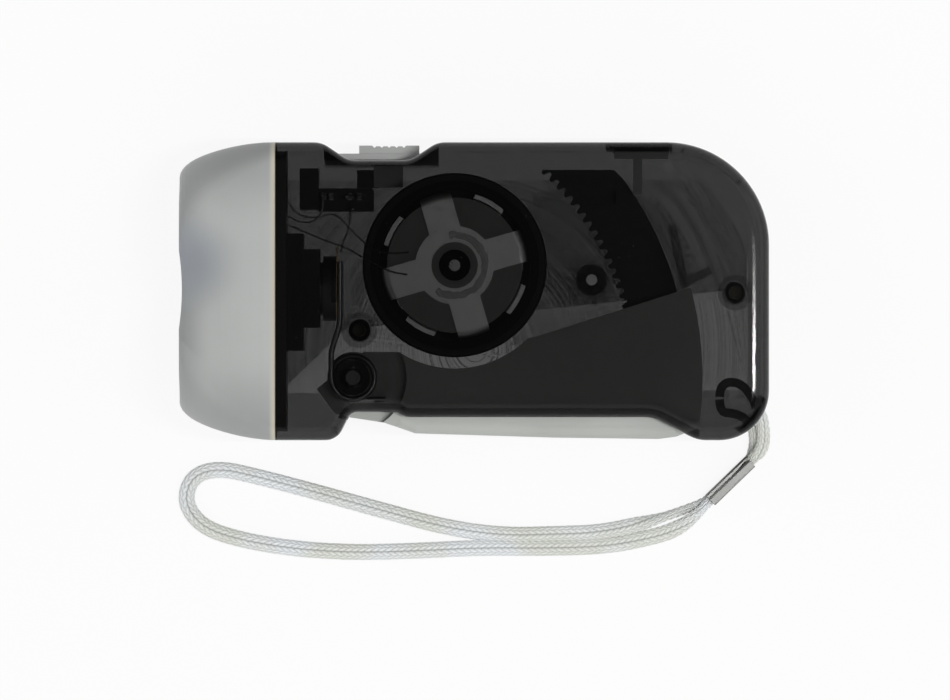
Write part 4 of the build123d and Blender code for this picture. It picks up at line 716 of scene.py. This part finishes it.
# %% Strap yarn
def yarn_material():
    """White nylon yarn with painted shade: grey in the furrows between the stitches, and dark where it is
    shut in the housing or held in the clip.
    """
    material, tree, shader = new_material("nylon_braid")
    height = add_node(tree, "Attribute", {"attribute_name": "yarn"}).outputs["Fac"]
    where = add_node(tree, "TexCoord").outputs["Object"]
    fuzz = noise(tree, where, 7000.0, 3)
    cloud = noise(tree, where, 75.0, 2)
    patches = add_node(tree, "MapRange", {"From Min": 0.42, "From Max": 0.6}, Value=cloud)
    yarn = mix_colour(tree, patches.outputs["Result"], srgb(236, 238, 230), srgb(246, 249, 252))
    # Painted shade: where the stitches sink, in the furrows between them, the yarn is painted grey.
    ease = math_node(tree, "POWER", height, 0.5)
    colour = mix_colour(tree, ease, srgb(126, 129, 126), yarn)
    # Painted shade: the yarn is made nearly black where it is shut in the tail's corner or held in the clip.
    shade = add_node(tree, "Attribute", {"attribute_name": "shade"}).outputs["Fac"]
    colour = mix_colour(tree, shade, colour, (0.1, 0.1, 0.095, 1))
    tree.links.new(colour, shader.inputs["Base Color"])
    thread = math_node(tree, "MULTIPLY_ADD", fuzz, 0.25, 0.5)
    tree.links.new(thread, shader.inputs["Roughness"])
    shader.inputs["Sheen Weight"].default_value = 0.2
    bump(tree, shader, fuzz, 0.00005, 0.6)
    return material


strap.data.materials.append(yarn_material())
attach(strap, "housing")
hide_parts("strap_cord")

# %% [markdown]
# ## The strap's steel clip
#
# Both runs of the strap are held by a clip that is folded from one strip of sheet steel. Its front edge is
# bent down over the rear flap, which runs in under it at a slant and leaves a dark wedge open. The strip's
# middle line is a row of points across the strap. Extruding it along the strap gives the fold, and two
# modifiers give the sheet its thickness and its worn edges.

# %% Clip
CLIP_SHEET = 0.24 * MM
CLIP_EDGE = 0.05 * MM
# The strip's middle line: (mm across the strap, mm above the floor).
CLIP_FOLD = [
    (0.3, 5.25), (-0.9, 5.3), (-1.15, 5.05), (-1.15, 0.45), (-0.9, 0.16), (0.9, 0.16),
    (1.15, 0.45), (1.15, 5.5), (0.98, 5.78), (-0.05, 5.74), (-0.42, 5.5),
]
# Shares of the clip's length, and how far the flap's edge draws back there (mm).
CLIP_STATIONS = [0.0, 0.5, 0.75, 1.0]
CLIP_FLAP_SHIFT = [0.0, -0.55, -0.85, -1.1]


def clip_point(share, across, height, shift):
    """A point of the clip from its place along, across and above the strap."""
    forward = (CLIP_END - CLIP_START).normalized()
    side = Vector((forward.y, -forward.x, 0))
    return CLIP_START.lerp(CLIP_END, share) + side * (across + shift) * MM + Vector((0, 0, height * MM))


bm = bmesh.new()
row = [bm.verts.new(clip_point(0.0, x, z, 0.0)) for x, z in CLIP_FOLD]
edges = [bm.edges.new(pair) for pair in zip(row, row[1:])]
for share, shift in zip(CLIP_STATIONS[1:], CLIP_FLAP_SHIFT[1:]):
    made = bmesh.ops.extrude_edge_only(bm, edges=edges)["geom"]
    new = {v for v in made if isinstance(v, bmesh.types.BMVert)}
    row = [next(e.other_vert(v) for e in v.link_edges if e.other_vert(v) in new) for v in row]
    edges = [next(e for e in a.link_edges if e.other_vert(a) is b) for a, b in zip(row, row[1:])]
    for k, vertex in enumerate(row):
        x, z = CLIP_FOLD[k]
        vertex.co = clip_point(share, x, z, shift if k == 0 else 0.0)
bmesh.ops.recalc_face_normals(bm, faces=bm.faces)
clip_mesh = bpy.data.meshes.new("strap_clip")
bm.to_mesh(clip_mesh)
bm.free()
clip = bpy.data.objects.new("strap_clip", clip_mesh)
scene.collection.objects.link(clip)
wall = clip.modifiers.new("sheet", "SOLIDIFY")
wall.thickness = CLIP_SHEET
wall.offset = 0
edge = clip.modifiers.new("edge", "BEVEL")
edge.width = CLIP_EDGE
edge.segments = 2
edge.limit_method = "ANGLE"
clip.data.materials.append(CLIP_STEEL)
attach(clip, "housing")
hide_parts("strap_ferrule")
print("clip faces", len(clip_mesh.polygons))

# %% [markdown]
# ## Glue and solder
#
# The front claw plate is held by a bead of clear glue that was run round its hub by hand, and the switch's
# leads end in small drops of solder. Both are hand work, so their shapes are uneven. A spun circle and a
# few small spheres, pushed about by noise, give that better than exact forms would.

# %% Glue bead
HUB = Vector((-3.414, 4.6405, 0)) * MM
GLUE_HEIGHT = 27.0 * MM
GLUE_RING = 5.4 * MM
GLUE_BEAD = 0.62 * MM
GLUE_START, GLUE_ARC = -125, 225
GLUE_SIDES, GLUE_STEPS = 12, 72
GLUE_FLATNESS = 0.55
GLUE_WOBBLE = 0.3 * MM
SOLDER_WOBBLE = 0.2 * MM


def uneven(position, scale, amount):
    """A small shift that varies smoothly with the place."""
    return noise_tools.noise_vector(position * scale) * amount


bm = bmesh.new()
bmesh.ops.create_circle(bm, segments=GLUE_SIDES, radius=GLUE_BEAD, cap_ends=False)
bmesh.ops.rotate(bm, verts=bm.verts, cent=(0, 0, 0), matrix=Matrix.Rotation(math.radians(90), 3, "X"))
bmesh.ops.translate(bm, verts=bm.verts, vec=(GLUE_RING, 0, 0))
bmesh.ops.rotate(bm, verts=bm.verts, cent=(0, 0, 0), matrix=Matrix.Rotation(math.radians(GLUE_START), 3, "Z"))
bmesh.ops.spin(
    bm, geom=list(bm.verts) + list(bm.edges), cent=(0, 0, 0), axis=(0, 0, 1), dvec=(0, 0, 0),
    angle=math.radians(GLUE_ARC), steps=GLUE_STEPS,
)
bmesh.ops.holes_fill(bm, edges=[e for e in bm.edges if e.is_boundary], sides=GLUE_SIDES)
bmesh.ops.scale(bm, vec=(1, 1, GLUE_FLATNESS), verts=bm.verts)
for vertex in bm.verts:
    vertex.co += uneven(vertex.co, 900.0, GLUE_WOBBLE) * Vector((1, 1, 0.3))
bmesh.ops.translate(bm, verts=bm.verts, vec=HUB + Vector((0, 0, GLUE_HEIGHT)))
bmesh.ops.recalc_face_normals(bm, faces=bm.faces)
for face in bm.faces:
    face.smooth = True
glue_mesh = bpy.data.meshes.new("hub_glue")
bm.to_mesh(glue_mesh)
bm.free()
glue = bpy.data.objects.new("hub_glue", glue_mesh)
scene.collection.objects.link(glue)
glue.data.materials.append(clear_plastic("glue", (0.2, 0.2, 0.19, 1), 0.16, 0.05))
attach(glue, "housing")
print("glue faces", len(glue_mesh.polygons))

# %% Solder drops
# The drops' centres and radii (mm).
SOLDER_DROPS = [
    (-26.95, 17.15, 20.6, 0.42), (-25.6, 17.3, 20.6, 0.3), (-22.6, 16.75, 20.6, 0.42),
    (-21.7, 16.9, 20.6, 0.34), (-20.7, 17.4, 20.6, 0.26), (-21.6, 14.6, 20.4, 0.22),
]
bm = bmesh.new()
for x, y, z, radius in SOLDER_DROPS:
    made = bmesh.ops.create_icosphere(bm, subdivisions=3, radius=radius * MM)["verts"]
    centre = Vector((x, y, z)) * MM
    for vertex in made:
        vertex.co = centre + vertex.co + uneven(vertex.co + centre, 2600.0, SOLDER_WOBBLE)
for face in bm.faces:
    face.smooth = True
solder_mesh = bpy.data.meshes.new("solder_drops")
bm.to_mesh(solder_mesh)
bm.free()
drops = bpy.data.objects.new("solder_drops", solder_mesh)
scene.collection.objects.link(drops)
drops.data.materials.append(SOLDER)
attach(drops, "housing")
print("solder faces", len(solder_mesh.polygons))
